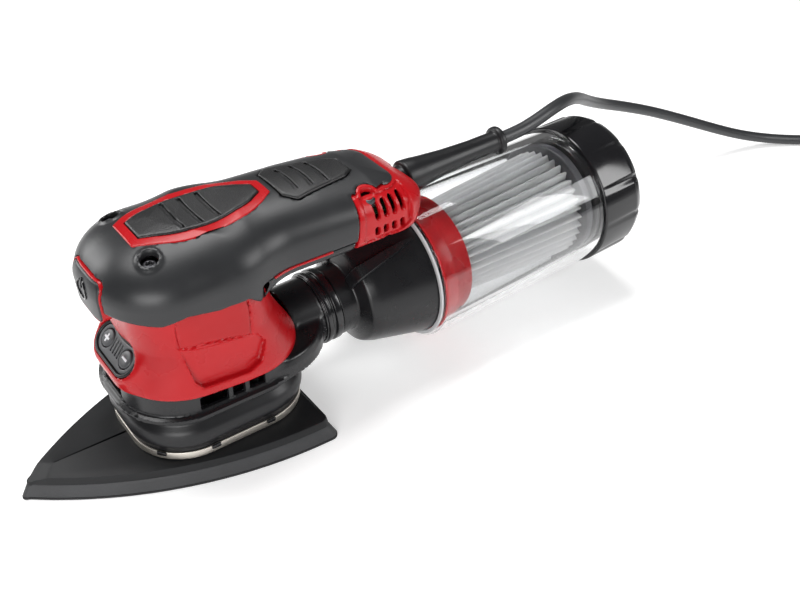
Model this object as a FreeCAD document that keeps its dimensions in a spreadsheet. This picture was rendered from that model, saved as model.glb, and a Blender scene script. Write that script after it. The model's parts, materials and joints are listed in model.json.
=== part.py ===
"""Detail mouse sander: delta-pad orbital sander with a bin for its dust.

Frame: +Z up, +X to the rear (dust canister and cord), +Y the left side seen from behind
the tool's nose.  The origin is where the motor axis meets the sanding face.  Millimetres.
"""
import FreeCAD
import Part
import math
import os

from FreeCAD import Placement, Rotation, Vector

# Driving dimensions: alias, value in mm (or degrees), what it is.
DIMENSIONS = [
    ("pad_tip", 102, "pad centre to its front tip"),
    ("pad_rear", 48, "pad centre to its straight rear edge"),
    ("pad_half", 53.5, "half of the pad's rear width"),
    ("hook_thick", 1.4, "hook layer"),
    ("foam_top", 8.0, "top of the foam"),
    ("flange_top", 9.4, "top of the plate's thin flange"),
    ("plate_top", 13.5, "top of the backing plate"),
    ("skirt_front", 46, "axis to the front of the rubber skirt"),
    ("skirt_rear", 46, "axis to the rear of the rubber skirt"),
    ("skirt_half", 38, "half width of the rubber skirt"),
    ("skirt_corner", 29, "corner radius of the rubber skirt"),
    ("band_low", 13.9, "underside of the metal band"),
    ("band_high", 18.2, "top of the metal band"),
    ("band_thick", 1.0, "metal band"),
    ("bellows_top", 38.2, "top lip of the bellows"),
    ("shroud_low", 39.0, "underside of the dust shroud"),
    ("shroud_high", 49.8, "top of the dust shroud"),
    ("body_low", 50.0, "underside of the red motor housing"),
    ("body_high", 100.0, "top of the red motor housing, inside the cover"),
    ("wall", 2.5, "plastic wall"),
    ("orbit", 1.0, "offset of the eccentric pin: a 2 mm orbit"),
    ("shaft_radius", 4.0, "motor shaft"),
    ("pin_radius", 5.97, "eccentric pin"),
    ("running", 0.05, "radial running clearance"),
    ("fit_gap", 0.02, "gap of a close fit"),
    ("pad_bearing_outer", 14.0, "pad bearing, outer radius"),
    ("bearing_outer", 11.0, "motor bearings, outer radius"),
    ("bearing_width", 7.0, "motor bearings, width"),
    ("stator_outer", 23.0, "stator stack, outer radius"),
    ("stator_inner", 12.4, "stator bore"),
    ("stator_low", 75.0, "underside of the stator stack"),
    ("stator_high", 96.0, "top of the stator stack"),
    ("rotor_radius", 11.8, "rotor"),
    ("fan_radius", 30.0, "cooling fan"),
    ("duct_tilt", 3.0, "rise of the canister axis towards the rear, degrees"),
    ("duct_x", 149.3, "reference point on the canister axis, x"),
    ("duct_z", 48.3, "reference point on the canister axis, z"),
    ("duct_outer", 19.0, "outlet duct, outer radius"),
    ("duct_inner", 15.5, "outlet duct, inner radius"),
    ("collar_radius", 20.6, "outlet collar, over its lips"),
    ("spigot_radius", 17.5, "adapter spigot"),
    ("tube_radius", 42.2, "clear canister, outer radius"),
    ("tube_wall", 1.9, "clear canister wall"),
    ("tube_front", 24.0, "canister front rim, ahead of the reference point"),
    ("tube_rear", 95.2, "canister rear rim, behind the reference point"),
    ("cap_radius", 43.2, "canister cap, outer radius"),
    ("cap_rear", 127.0, "canister cap's end, behind the reference point"),
    ("pleat_count", 36, "pleats of the filter"),
    ("cord_radius", 3.75, "power cord"),
    ("key_tilt", 45.0, "lean of the speed keypad, degrees from upright"),
]

doc = FreeCAD.newDocument("mouse_sander")
sheet = doc.addObject("Spreadsheet::Sheet", "dimensions")
for row, (alias, amount, note) in enumerate(DIMENSIONS, start=1):
    sheet.set("A%d" % row, note)
    sheet.set("B%d" % row, str(amount))
    sheet.setAlias("B%d" % row, alias)
doc.recompute()

nodes = []


def cell(alias):
    """The value of a driving dimension."""
    return float(sheet.get(alias))


def node(obj, name):
    """Name an object as one of the sander's pieces."""
    obj.Label = name
    nodes.append(obj)
    return obj


def hidden(kind, name, bound=None, base=Vector(0, 0, 0), turn=Rotation(), **sizes):
    """A document object with plain sizes, and sizes bound to the sheet."""
    obj = doc.addObject(kind, name)
    for prop, amount in sizes.items():
        setattr(obj, prop, amount)
    for prop, expression in (bound or {}).items():
        obj.setExpression(prop, expression)
    obj.Placement = Placement(base, turn)
    return obj


def cylinder(name, radius, low, high, centre=(0, 0)):
    """An upright cylinder between two heights; each size is a number or an expression."""
    obj = hidden("Part::Cylinder", name, base=Vector(centre[0], centre[1], 0))
    obj.setExpression("Radius", str(radius))
    obj.setExpression("Height", "(%s) - (%s)" % (high, low))
    obj.setExpression(".Placement.Base.z", str(low))
    return obj


def box(name, low, high):
    """A box between two corners."""
    size = Vector(*high) - Vector(*low)
    return hidden("Part::Box", name, base=Vector(*low), Length=size.x, Width=size.y,
                  Height=size.z)


def placed(obj, base, turn):
    """Move a finished object."""
    obj.Placement = Placement(base, turn)
    return obj


def cut(name, base, *tools):
    """The base with every tool taken away."""
    tool = tools[0] if len(tools) == 1 else fuse(name + "_tools", *tools)
    obj = doc.addObject("Part::Cut", name)
    obj.Base = base
    obj.Tool = tool
    return obj


def fuse(name, *pieces):
    """One solid from several."""
    obj = doc.addObject("Part::MultiFuse", name)
    obj.Shapes = list(pieces)
    return obj


def common(name, *pieces):
    """The space that several solids share."""
    obj = doc.addObject("Part::MultiCommon", name)
    obj.Shapes = list(pieces)
    return obj


def group(name, pieces):
    """Separate solids kept as one node."""
    obj = doc.addObject("Part::Compound", name)
    obj.Links = list(pieces)
    return obj


def sketch_of(name, edges, height="0", turn=Rotation()):
    """A closed sketch at a height given as an expression."""
    obj = doc.addObject("Sketcher::SketchObject", name)
    for edge in edges:
        obj.addGeometry(edge, False)
    obj.Placement = Placement(Vector(0, 0, 0), turn)
    obj.setExpression(".Placement.Base.z", str(height))
    return obj


def rounded(front, rear, half, corner):
    """Outline of a rounded rectangle, from x = front to x = rear and half each way in y."""
    corner = min(corner, half - 0.5, (rear - front) / 2 - 0.5)
    slope = corner * (1 - math.sqrt(0.5))
    edges = []
    ends = [(rear, -half, 1, -1), (rear, half, 1, 1), (front, half, -1, 1), (front, -half, -1, -1)]
    for x, y, sx, sy in ends:
        side = Vector(x, y - sy * corner, 0)
        level = Vector(x - sx * corner, y, 0)
        middle = Vector(x - sx * slope, y - sy * slope, 0)
        first, last = (level, side) if sx * sy < 0 else (side, level)
        edges.append((first, middle, last))
    outline = []
    for index, (first, middle, last) in enumerate(edges):
        outline.append(Part.Arc(first, middle, last))
        outline.append(Part.LineSegment(last, edges[(index + 1) % 4][0]))
    return outline


def delta(inset, tip=None):
    """Outline of the iron-shaped pad: a small round tip, bowed sides, a straight rear edge."""
    tip = -cell("pad_tip") if tip is None else tip
    rear = cell("pad_rear")
    half = cell("pad_half")
    bow = 12.8
    nose = 2.4
    corner = 4.5
    low = Vector(tip + nose, nose, 0)
    high = Vector(rear - corner, half, 0)
    along = (high - low).normalize()
    middle = (low + high) * 0.5 + Vector(-along.y, along.x, 0) * bow
    turn = Vector(rear - 0.3 * corner, half - 0.3 * corner, 0)
    edge = Vector(rear, half - corner, 0)
    centre = Vector((tip + rear) / 2, 0, 0)
    length_scale = 1 - 2.5 * inset / (rear - tip)
    width_scale = 1 - inset / half

    def inner(point, sign):
        offset = point - centre
        return centre + Vector(offset.x * length_scale, sign * offset.y * width_scale, 0)

    right = [inner(point, -1) for point in (low, middle, high, turn, edge)]
    left = [inner(point, 1) for point in (low, middle, high, turn, edge)]
    nose_point = inner(Vector(tip, 0, 0), 1)
    return [
        Part.Arc(right[0], right[1], right[2]),
        Part.Arc(right[2], right[3], right[4]),
        Part.LineSegment(right[4], left[4]),
        Part.Arc(left[4], left[3], left[2]),
        Part.Arc(left[2], left[1], left[0]),
        Part.Arc(left[0], nose_point, right[0]),
    ]


def loft(name, levels):
    """A straight-sided solid through closed outlines, each a (height, edges) pair."""
    obj = doc.addObject("Part::Loft", name)
    obj.Sections = [sketch_of("%s_level%d" % (name, index), edges, height)
                    for index, (height, edges) in enumerate(levels)]
    obj.Solid = True
    obj.Ruled = True
    return obj


def skirt(inset):
    """Outline of the skirt family: band, bellows and shroud."""
    return rounded(inset - cell("skirt_front"), cell("skirt_rear") - inset,
                   cell("skirt_half") - inset, cell("skirt_corner") - inset)


def turned(name, profile):
    """A PartDesign body turned about its own Z axis from closed (radius, height) points."""
    body = doc.addObject("PartDesign::Body", name)
    sketch = body.newObject("Sketcher::SketchObject", name + "_profile")
    plane = [item for item in body.Origin.OriginFeatures if item.Role == "XZ_Plane"][0]
    sketch.AttachmentSupport = [(plane, "")]
    sketch.MapMode = "FlatFace"
    points = [Vector(radius, height, 0) for radius, height in profile]
    for index, point in enumerate(points):
        sketch.addGeometry(Part.LineSegment(point, points[(index + 1) % len(points)]), False)
    turn = body.newObject("PartDesign::Revolution", name + "_turn")
    turn.Profile = sketch
    turn.ReferenceAxis = (sketch, ["V_Axis"])
    turn.Angle = 360
    return body


def bearing(name, outer, inner, low, width):
    """A sealed ball bearing as one ring with a groove each side between its races."""
    middle = (outer + inner) / 2
    groove = (outer - inner) * 0.22
    depth = 0.4
    profile = [(inner, low), (middle - groove, low), (middle - groove, low + depth),
               (middle + groove, low + depth), (middle + groove, low), (outer, low),
               (outer, low + width), (middle + groove, low + width),
               (middle + groove, low + width - depth), (middle - groove, low + width - depth),
               (middle - groove, low + width), (inner, low + width)]
    return turned(name, profile)


DUCT_TURN = Rotation(Vector(0, 1, 0), 90 - cell("duct_tilt"))
DUCT_AXIS = DUCT_TURN.multVec(Vector(0, 0, 1))
DUCT_BASE = Vector(cell("duct_x"), 0, cell("duct_z"))
TURNED_BASE = 200.0


def on_duct(name, profile):
    """A turned piece on the canister axis; heights are distances behind the reference point."""
    lifted = [(radius, along + TURNED_BASE) for radius, along in profile]
    return placed(turned(name, lifted), DUCT_BASE - DUCT_AXIS * TURNED_BASE, DUCT_TURN)


def around(count, start=0.0):
    """Angles in degrees, evenly spaced round a circle."""
    return [start + 360.0 * index / count for index in range(count)]


def ring_of(name, make, angles):
    """Copies of a piece made by make(name), turned to each angle about the Z axis."""
    pieces = []
    for index, angle in enumerate(angles):
        piece = make("%s_%d" % (name, index))
        piece.Placement = Placement(Vector(0, 0, 0), Rotation(Vector(0, 0, 1), angle)).multiply(
            piece.Placement)
        pieces.append(piece)
    return pieces


# ---------------------------------------------------------------- sanding pad
DUST_HOLES = [(-60, 0), (-28, 20), (-28, -20), (12, 33), (12, -33), (36, 16), (36, -16)]
DUST_HOLE_RADIUS = 4.0


def dust_holes(name):
    """The dust holes through the pad's layers."""
    return [cylinder("%s_hole%d" % (name, index), DUST_HOLE_RADIUS, -1, 20, spot)
            for index, spot in enumerate(DUST_HOLES)]


hook = loft("hook_solid", [("0", delta(0)), ("dimensions.hook_thick", delta(0))])
node(cut("hook_cut", hook, *dust_holes("hook")), "hook_layer")

foam = loft("foam_solid", [("dimensions.hook_thick", delta(0.2)),
                           ("dimensions.foam_top", delta(3.2))])
node(cut("foam_cut", foam, *dust_holes("foam")), "foam_pad")

plate = loft("plate_solid", [("dimensions.foam_top", delta(2.8)),
                             ("dimensions.flange_top", delta(3.1)),
                             ("dimensions.plate_top - 0.9", delta(3.9, -90)),
                             ("dimensions.plate_top", delta(12.0, -82))])
PAD_SCREW_CIRCLE = 22.5
PAD_SCREW_ANGLES = around(4, 45)


def pad_screw_hole(name):
    """A clearance hole for one pad screw."""
    return cylinder(name, 2.05, 10.8, 20, (PAD_SCREW_CIRCLE, 0))


plate_holes = dust_holes("plate") + ring_of("plate_screw", pad_screw_hole, PAD_SCREW_ANGLES)
node(cut("plate_cut", plate, *plate_holes), "backing_plate")

hub_height = 25.6
hub_floor = 17.4
pad_bearing_seat = cell("pad_bearing_outer") + cell("fit_gap")
hub = turned("hub_solid", [(0, 13.6), (27, 13.6), (27, 16.6), (18, 16.6), (18, hub_height),
                           (pad_bearing_seat, hub_height), (pad_bearing_seat, hub_floor),
                           (0, hub_floor)])
hub = placed(hub, Vector(cell("orbit"), 0, 0), Rotation())
node(cut("hub_cut", hub, *ring_of("hub_screw", pad_screw_hole, PAD_SCREW_ANGLES)), "pad_hub")

pad_bearing = bearing("pad_bearing_body", cell("pad_bearing_outer"),
                      cell("pin_radius") + cell("running"), hub_floor + 0.1, 8.0)
node(placed(pad_bearing, Vector(cell("orbit"), 0, 0), Rotation()), "pad_bearing")


def pad_screw(name):
    """A pan-head screw through the hub's flange."""
    shank = cylinder(name + "_shank", 1.98, 11, 17, (PAD_SCREW_CIRCLE, 0))
    head = cylinder(name + "_head", 3.4, 16.65, 19.2, (PAD_SCREW_CIRCLE, 0))
    return fuse(name, shank, head)


node(group("pad_screw_group", ring_of("pad_screw", pad_screw, PAD_SCREW_ANGLES)), "pad_screws")

band_outer = loft("band_outer", [("dimensions.band_low", skirt(0)),
                                 ("dimensions.band_high", skirt(0))])
band_inner = loft("band_inner", [("dimensions.band_low - 1", skirt(cell("band_thick"))),
                                 ("dimensions.band_high + 1", skirt(cell("band_thick")))])
node(cut("band_cut", band_outer, band_inner), "clamp_band")

bellows_outer = loft("bellows_outer", [
    ("dimensions.plate_top + 0.1", skirt(1.2)), ("dimensions.band_high + 0.2", skirt(1.2)),
    ("dimensions.band_high + 1", skirt(-0.5)), ("dimensions.band_high + 6", skirt(-1.2)),
    ("dimensions.bellows_top - 7", skirt(0.6)), ("dimensions.bellows_top - 4", skirt(3.2)),
    ("dimensions.bellows_top - 2.6", skirt(1.0)), ("dimensions.bellows_top", skirt(1.0))])
bellows_inner = loft("bellows_inner", [("dimensions.plate_top - 1", skirt(5.2)),
                                       ("dimensions.bellows_top + 1", skirt(5.2))])
node(cut("bellows_cut", bellows_outer, bellows_inner), "rubber_bellows")

CLIP_SPOTS = [(-15, 0), (16, 0), (-15, 180), (16, 180)]
clips = []
for index, (x, turn) in enumerate(CLIP_SPOTS):
    side = -1 if turn == 0 else 1
    near = side * (cell("skirt_half") + 0.05)
    far = side * (cell("skirt_half") + 1.0)
    clips.append(box("clip_%d" % index, (x - 3, min(near, far), 16.2), (x + 3, max(near, far), 19.0)))
for index, side in enumerate((-1, 1)):
    clip = box("clip_front_%d" % index, (-0.95, -3, 16.2), (-0.05, 3, 19.0))
    corner = cell("skirt_corner")
    lean = math.radians(40)
    centre = Vector(corner - cell("skirt_front"), side * (cell("skirt_half") - corner), 16.2)
    spot = centre + Vector(-math.cos(lean), side * math.sin(lean), 0) * corner
    turn = Rotation(Vector(0, 0, 1), -side * 40)
    clip.Placement = Placement(spot, turn).multiply(Placement(Vector(-0.95, -3, 0), Rotation()))
    clips.append(clip)
node(group("clip_group", clips), "band_clips")

# ---------------------------------------------------------------- drive, turning with the motor
node(cylinder("shaft_body", "dimensions.shaft_radius", 28, 112), "motor_shaft")

bore = cell("shaft_radius") + cell("fit_gap")
eccentric_hub = turned("eccentric_hub", [(0, 27), (9, 27), (9, 45), (bore, 45), (bore, 27.9),
                                         (0, 27.9)])
eccentric_pin = cylinder("eccentric_pin", "dimensions.pin_radius", 17.7, 27.5,
                         (cell("orbit"), 0))
node(fuse("eccentric_fuse", eccentric_hub, eccentric_pin), "eccentric_drive")

weight_ring = turned("weight_ring", [(9 + cell("fit_gap"), 30), (24, 30), (24, 37),
                                     (9 + cell("fit_gap"), 37)])
weight_side = box("weight_side", (-30, -30, 29), (-2, 30, 38))
node(common("weight_half", weight_ring, weight_side), "counterweight")

fan_disc = turned("fan_disc", [(bore, 45.2), (8, 45.2), (8, 50.6), (cell("fan_radius"), 50.6),
                               (cell("fan_radius"), 51.8), (8, 51.8), (8, 57.6), (bore, 57.6)])
FAN_BLADES = 11


def fan_blade(name):
    """One curved-looking blade: a leaning flat vane."""
    blade = box(name, (9, -0.7, 51.6), (cell("fan_radius") - 2, 0.7, 57.2))
    return placed(blade, Vector(9, -6, 51.6), Rotation(Vector(0, 0, 1), 14))


node(fuse("fan_fuse", fan_disc, *ring_of("fan_blade", fan_blade, around(FAN_BLADES))),
     "cooling_fan")

rotor_end = 1.0
node(turned("rotor_body", [(bore, 74), (8, 74), (8, 75), (cell("rotor_radius"), 75),
                           (cell("rotor_radius"), 96), (8, 96), (8, 96 + rotor_end),
                           (bore, 96 + rotor_end)]), "rotor")

# ---------------------------------------------------------------- motor, fixed
bearing_bore = cell("shaft_radius") + cell("running")
node(bearing("lower_bearing_body", cell("bearing_outer"), bearing_bore, 62,
             cell("bearing_width")), "lower_bearing")
node(bearing("upper_bearing_body", cell("bearing_outer"), bearing_bore, 104,
             cell("bearing_width")), "upper_bearing")

seat = cell("bearing_outer") + cell("fit_gap")
node(turned("lower_bracket_body", [(6, 58.4), (34, 58.4), (34, 61.0), (15, 61.0), (15, 69),
                                   (seat, 69), (seat, 61.9), (6, 61.9)]), "lower_motor_bracket")
node(turned("upper_bracket_body", [(seat, 103.9), (seat, 111), (14, 111), (14, 104.5), (29, 104.5),
                                   (29, 101.4), (6, 101.4), (6, 103.9)]), "upper_motor_bracket")
can_inner = cell("stator_outer") + cell("fit_gap")
node(turned("can_body", [(can_inner, 61.1), (25, 61.1), (25, 101.3), (can_inner, 101.3)]),
     "motor_can")

stator_ring = turned("stator_ring", [(19, cell("stator_low")),
                                     (cell("stator_outer"), cell("stator_low")),
                                     (cell("stator_outer"), cell("stator_high")),
                                     (19, cell("stator_high"))])
STATOR_TEETH = 6


def stator_tooth(name):
    """One tooth of the stator with its wider shoe at the bore."""
    web = box(name + "_web", (13.5, -2, cell("stator_low")), (19.5, 2, cell("stator_high")))
    shoe = box(name + "_shoe", (cell("stator_inner") + 0.4, -3.6, cell("stator_low")),
               (14.4, 3.6, cell("stator_high")))
    return fuse(name, web, shoe)


node(fuse("stator_fuse", stator_ring, *ring_of("tooth", stator_tooth, around(STATOR_TEETH))),
     "stator_core")


def winding(name):
    """One coil round a tooth."""
    outer = box(name + "_outer", (14.6, -4, cell("stator_low") - 3.4),
                (18.2, 4, cell("stator_high") + 3.4))
    hole = box(name + "_hole", (14, -2.1, cell("stator_low") - 0.1),
               (19.2, 2.1, cell("stator_high") + 0.1))
    return cut(name, outer, hole)


node(group("winding_group", ring_of("winding", winding, around(STATOR_TEETH))),
     "stator_windings")

# ---------------------------------------------------------------- dust shroud and outlet
shroud_outer = loft("shroud_outer", [("dimensions.shroud_low", skirt(-0.9)),
                                     ("dimensions.shroud_low + 2", skirt(-1.6)),
                                     ("dimensions.shroud_high", skirt(-1.6))])
shroud_inner = loft("shroud_inner", [("dimensions.shroud_low - 1", skirt(1.6)),
                                     ("dimensions.shroud_high - 2", skirt(1.6))])
shroud_eye = cylinder("shroud_eye", 26, 35, 52)
VENTS = [(-18, -5), (-3.6, 3.6), (5, 13)]
vents = []
for side in (-1, 1):
    low, high = sorted((side * 34.0, side * 45.0))
    for index, (first, last) in enumerate(VENTS):
        vents.append(box("vent_%d_%d" % (side, index), (first, low, 44.2),
                         (last, high, 47.6)))
duct_start = DUCT_BASE - DUCT_AXIS * 99.4
duct_tube = placed(turned("duct_tube", [(0, 0), (cell("duct_outer"), 0),
                                        (cell("duct_outer"), 13.0), (0, 13.0)]),
                   duct_start, DUCT_TURN)
scoop = box("duct_scoop", (40, -17, 39.0), (52, 17, 49.8))
duct_hollow = placed(turned("duct_hollow", [(0, 2.4), (cell("duct_inner"), 2.4),
                                            (cell("duct_inner"), 20), (0, 20)]),
                     duct_start, DUCT_TURN)
scoop_hollow = box("scoop_hollow", (38, -12, 41), (54, 12, 47.7))
shroud_solid = fuse("shroud_solid", cut("shroud_shell", shroud_outer, shroud_inner), scoop,
                    duct_tube)
node(cut("shroud_cut", shroud_solid, shroud_eye, duct_hollow, scoop_hollow, *vents),
     "dust_shroud")

node(on_duct("collar_body", [(17.9, -86.3), (19.6, -86.3), (19.6, -85.4), (20.6, -85.4),
                             (20.6, -82.6), (19.0, -82.2), (19.0, -80.6), (20.6, -80.2),
                             (20.6, -76.4), (17.9, -76.4)]), "outlet_collar")

# ---------------------------------------------------------------- motor housing
BODY_LEVELS = [("dimensions.body_low", (-46.0, 46.6, 39.4, 30)),
               ("dimensions.body_low + 4", (-46.4, 46.4, 39.6, 30)),
               ("dimensions.body_low + 14", (-43, 40, 38.0, 28)),
               ("dimensions.body_low + 26", (-40.5, 33.5, 36.3, 27)),
               ("dimensions.body_high", (-40, 29.5, 34.5, 25))]


def body_levels(inset):
    """The red housing's outlines, each moved inwards."""
    return [(height, rounded(front + inset, rear - inset, half - inset, corner - inset))
            for height, (front, rear, half, corner) in BODY_LEVELS]


KEY_TURN = Rotation(Vector(0, 1, 0), -cell("key_tilt"))
KEY_CENTRE = Vector(-42.3, 0, 66.5)
KEY_SPREAD = 10.0


def peanut(name, lobe, waist, low, high, spread=KEY_SPREAD):
    """A two-lobed plate on the keypad's face; heights are along the face's normal."""
    lobes = []
    for side in (-1, 1):
        lobes.append(hidden("Part::Cylinder", "%s_lobe%d" % (name, side), Radius=lobe,
                            Height=high - low, base=Vector(0, side * spread, low)))
    lobes.append(box(name + "_waist", (-waist, -spread, low), (waist, spread, high)))
    return placed(fuse(name, *lobes), KEY_CENTRE, KEY_TURN)


body_outer = loft("body_outer", body_levels(0))
hollow_levels = body_levels(cell("wall"))
body_inner = loft("body_inner", [("dimensions.body_low - 1", hollow_levels[0][1])]
                  + hollow_levels[1:-1] + [("dimensions.body_high + 1", hollow_levels[-1][1])])
boss = cut("boss_cut", peanut("boss", 9.6, 8.6, -14, 0), body_inner)
pocket = peanut("boss_pocket", 8.3, 7.3, -2.6, 1)
cavity = peanut("boss_cavity", 6.0, 5.0, -20, 0)
node(cut("body_cut", fuse("body_fuse", cut("body_shell", body_outer, body_inner), boss), pocket,
         cavity), "motor_housing")

panels = []
for side in (-1, 1):
    lean = math.degrees(math.atan2(1.8, 24.0))
    plate_box = box("panel_%d" % side, (-17, -0.5, -7.5), (17, 0.5, 7.5))
    panel_centre = Vector(-6, side * 36.4, 84.2)
    panel_turn = Rotation(Vector(1, 0, 0), side * lean)
    panels.append(plate_box)
    plate_box.Placement = Placement(panel_centre, panel_turn).multiply(
        Placement(Vector(-17, -0.5, -7.5), Rotation()))
node(group("panel_group", panels), "side_panels")

gasket = cut("gasket_cut", peanut("gasket_outer", 8.2, 7.2, -2.4, 0.5),
             peanut("gasket_inner", 7.3, 6.3, -3, 1))
node(gasket, "keypad_gasket")


def key_cylinder(name, radius, low, high, side):
    """A round piece on one lobe of the keypad."""
    piece = hidden("Part::Cylinder", name, Radius=radius, Height=high - low)
    piece.Placement = Placement(KEY_CENTRE, KEY_TURN).multiply(
        Placement(Vector(0, side * KEY_SPREAD, low), Rotation()))
    return piece


plate_holes = [key_cylinder("key_hole_%d" % side, 4.9, -4, 2, side) for side in (-1, 1)]
LED_SPOTS = [-3.6, -1.2, 1.2, 3.6]


def led_bar(name, spot, grow, low, high):
    """One light bar of the speed display."""
    bar = box(name, (-3.4 - grow, spot - 0.5 - grow, low), (3.4 + grow, spot + 0.5 + grow, high))
    bar.Placement = Placement(KEY_CENTRE, KEY_TURN).multiply(bar.Placement)
    return bar


led_slots = [led_bar("led_slot_%d" % index, spot, 0.05, -4, 2)
             for index, spot in enumerate(LED_SPOTS)]
node(cut("keyplate_cut", peanut("keyplate", 7.2, 6.2, -1.6, 0.3), *(plate_holes + led_slots)),
     "keypad_plate")
node(group("led_group", [led_bar("led_%d" % index, spot, 0, -1.6, 0.2)
                         for index, spot in enumerate(LED_SPOTS)]), "speed_leds")
for side, name in ((1, "plus_button"), (-1, "minus_button")):
    crown = key_cylinder(name + "_crown", 4.5, -1.2, 1.0, side)
    stem = key_cylinder(name + "_stem", 1.6, -2.6, -1.2, side)
    node(fuse(name + "_fuse", crown, stem), name)
keyboard = box("keyboard_box", (-4.6, -13.5, -5.2), (4.6, 13.5, -3.8))
keyboard.Placement = Placement(KEY_CENTRE, KEY_TURN).multiply(keyboard.Placement)
node(keyboard, "keypad_board")

# ---------------------------------------------------------------- grip cover and handle
HEAD_LEVELS = [(94.0, (-51.0, 20, 38.8, 34)), (106.0, (-52.0, 21, 39.3, 35)),
               (113.0, (-51.6, 21, 38.3, 35)), (120.5, (-46.5, 19, 33.0, 31)),
               (125.5, (-39, 16, 26, 24)), (128.6, (-30, 10, 17, 15))]
HANDLE_LEVELS = [(93.5, (14, 108, 26, 16)), (97.5, (12, 116, 30.5, 20)),
                 (108.0, (10, 123, 32.5, 22)), (116.0, (8, 119, 30.5, 22)),
                 (122.5, (6, 111, 24, 19)), (127.0, (4, 98, 14, 12))]


def grip_solid(name, inset):
    """Head and handle as one volume, with every wall moved inwards."""
    pieces = []
    for part, levels in (("head", HEAD_LEVELS), ("handle", HANDLE_LEVELS)):
        outlines = []
        for index, (height, (front, rear, half, corner)) in enumerate(levels):
            if index == 0:
                shift = -1.0 if part == "head" and inset else inset
            elif index == len(levels) - 1:
                shift = -inset
            else:
                shift = 0
            outlines.append((str(height + shift),
                             rounded(front + inset, rear - inset, half - inset, corner - inset)))
        pieces.append(loft("%s_%s" % (name, part), outlines))
    return fuse(name, *pieces)


def side_prism(name, points, half=60):
    """A side profile, given as (x, z) points, taken right across the tool."""
    corners = [Vector(x, -half, z) for x, z in points]
    wire = Part.makePolygon(corners + corners[:1])
    face = doc.addObject("Part::Feature", name + "_face")
    face.Shape = Part.Face(wire)
    prism = doc.addObject("Part::Extrusion", name)
    prism.Base = face
    prism.DirMode = "Custom"
    prism.Dir = Vector(0, 1, 0)
    prism.LengthFwd = 2 * half
    prism.Solid = True
    return prism


VENT_SIDE = [(73.5, 90), (76.5, 121), (104, 119.5), (116.5, 118), (130, 103), (130, 90)]
SEAM = 0.15
LOWER_SEAM = 100.5
gap_region = [(73.5 - SEAM, 89), (76.5 - SEAM, 121 + SEAM), (104, 119.5 + SEAM),
              (116.5 + SEAM, 118 + SEAM), (131, 103), (131, 89)]
lower_region = [(33, 88), (34, LOWER_SEAM), (74.4, LOWER_SEAM), (73.1, 88)]
lower_gap = [(33 - SEAM, 87), (34 - SEAM, LOWER_SEAM + SEAM), (75, LOWER_SEAM + SEAM), (74, 87)]

grip_shell = cut("grip_shell", grip_solid("grip_outer", 0), grip_solid("grip_inner", 2.6))
PALM_SEAT = 126.0


def teardrop(front, rear, half, nose_half, tail_half):
    """Pointed six-sided outline with a bowed side each way."""
    shoulder_front = front + 5.0
    shoulder_rear = rear - 7.0
    return [
        Part.LineSegment(Vector(front, nose_half, 0), Vector(front, -nose_half, 0)),
        Part.Arc(Vector(front, -nose_half, 0), Vector(shoulder_front + 14, -half, 0),
                 Vector(shoulder_rear, -half * 0.62, 0)),
        Part.LineSegment(Vector(shoulder_rear, -half * 0.62, 0), Vector(rear, -tail_half, 0)),
        Part.LineSegment(Vector(rear, -tail_half, 0), Vector(rear, tail_half, 0)),
        Part.LineSegment(Vector(rear, tail_half, 0), Vector(shoulder_rear, half * 0.62, 0)),
        Part.Arc(Vector(shoulder_rear, half * 0.62, 0), Vector(shoulder_front + 14, half, 0),
                 Vector(front, nose_half, 0)),
    ]


def palm(name, low, high, grow):
    """The front palm outline as a plate."""
    return loft(name, [(str(low), teardrop(-26 - grow, 37 + grow, 14.0 + grow, 7.6 + grow * 0.6,
                                           4.0 + grow * 0.5)),
                       (str(high), teardrop(-26 - grow, 37 + grow, 14.0 + grow,
                                            7.6 + grow * 0.6, 4.0 + grow * 0.5))])


def rear_palm(name, low, high, grow):
    """The rear grip pad's outline as a plate."""
    return loft(name, [(str(low), teardrop(45 - grow, 88 + grow, 12.5 + grow, 7 + grow, 6 + grow)),
                       (str(high), teardrop(45 - grow, 88 + grow, 12.5 + grow, 7 + grow,
                                            6 + grow))])


SCREW_SPOTS = [(-27.5, 20.9, 126.0), (-27.5, -20.9, 126.0), (86, 24.5, 125.0), (86, -24.5, 125.0)]
screw_recesses = [cylinder("screw_recess_%d" % index, 4.0, z - 5.5, z + 8, (x, y))
                  for index, (x, y, z) in enumerate(SCREW_SPOTS)]
BUTTON_HALF = 12.8
button_window = box("button_window", (-60, -BUTTON_HALF - 0.4, 90), (-42, BUTTON_HALF + 0.4, 115))
neck_opening = loft("neck_opening", [("90", rounded(-40.8, 31.6, 36.6, 27)),
                                     ("101", rounded(-40.8, 30.6, 35.4, 26))])
motor_opening = cylinder("motor_opening", 29.6, 90, 112)
cover_tools = [neck_opening, motor_opening, side_prism("vent_gap", gap_region),
               side_prism("lower_gap", lower_gap), button_window,
               palm("palm_recess", PALM_SEAT, 132, 4.4),
               rear_palm("rear_recess", 124.6, 132, 0.1)] + screw_recesses
node(cut("cover_cut", grip_shell, *cover_tools), "grip_cover")

node(common("lower_common", cut("lower_shell_cut", grip_solid("lower_outer", 0),
                                grip_solid("lower_inner", 2.6)),
            side_prism("lower_region", lower_region)), "handle_lower_shell")

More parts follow.
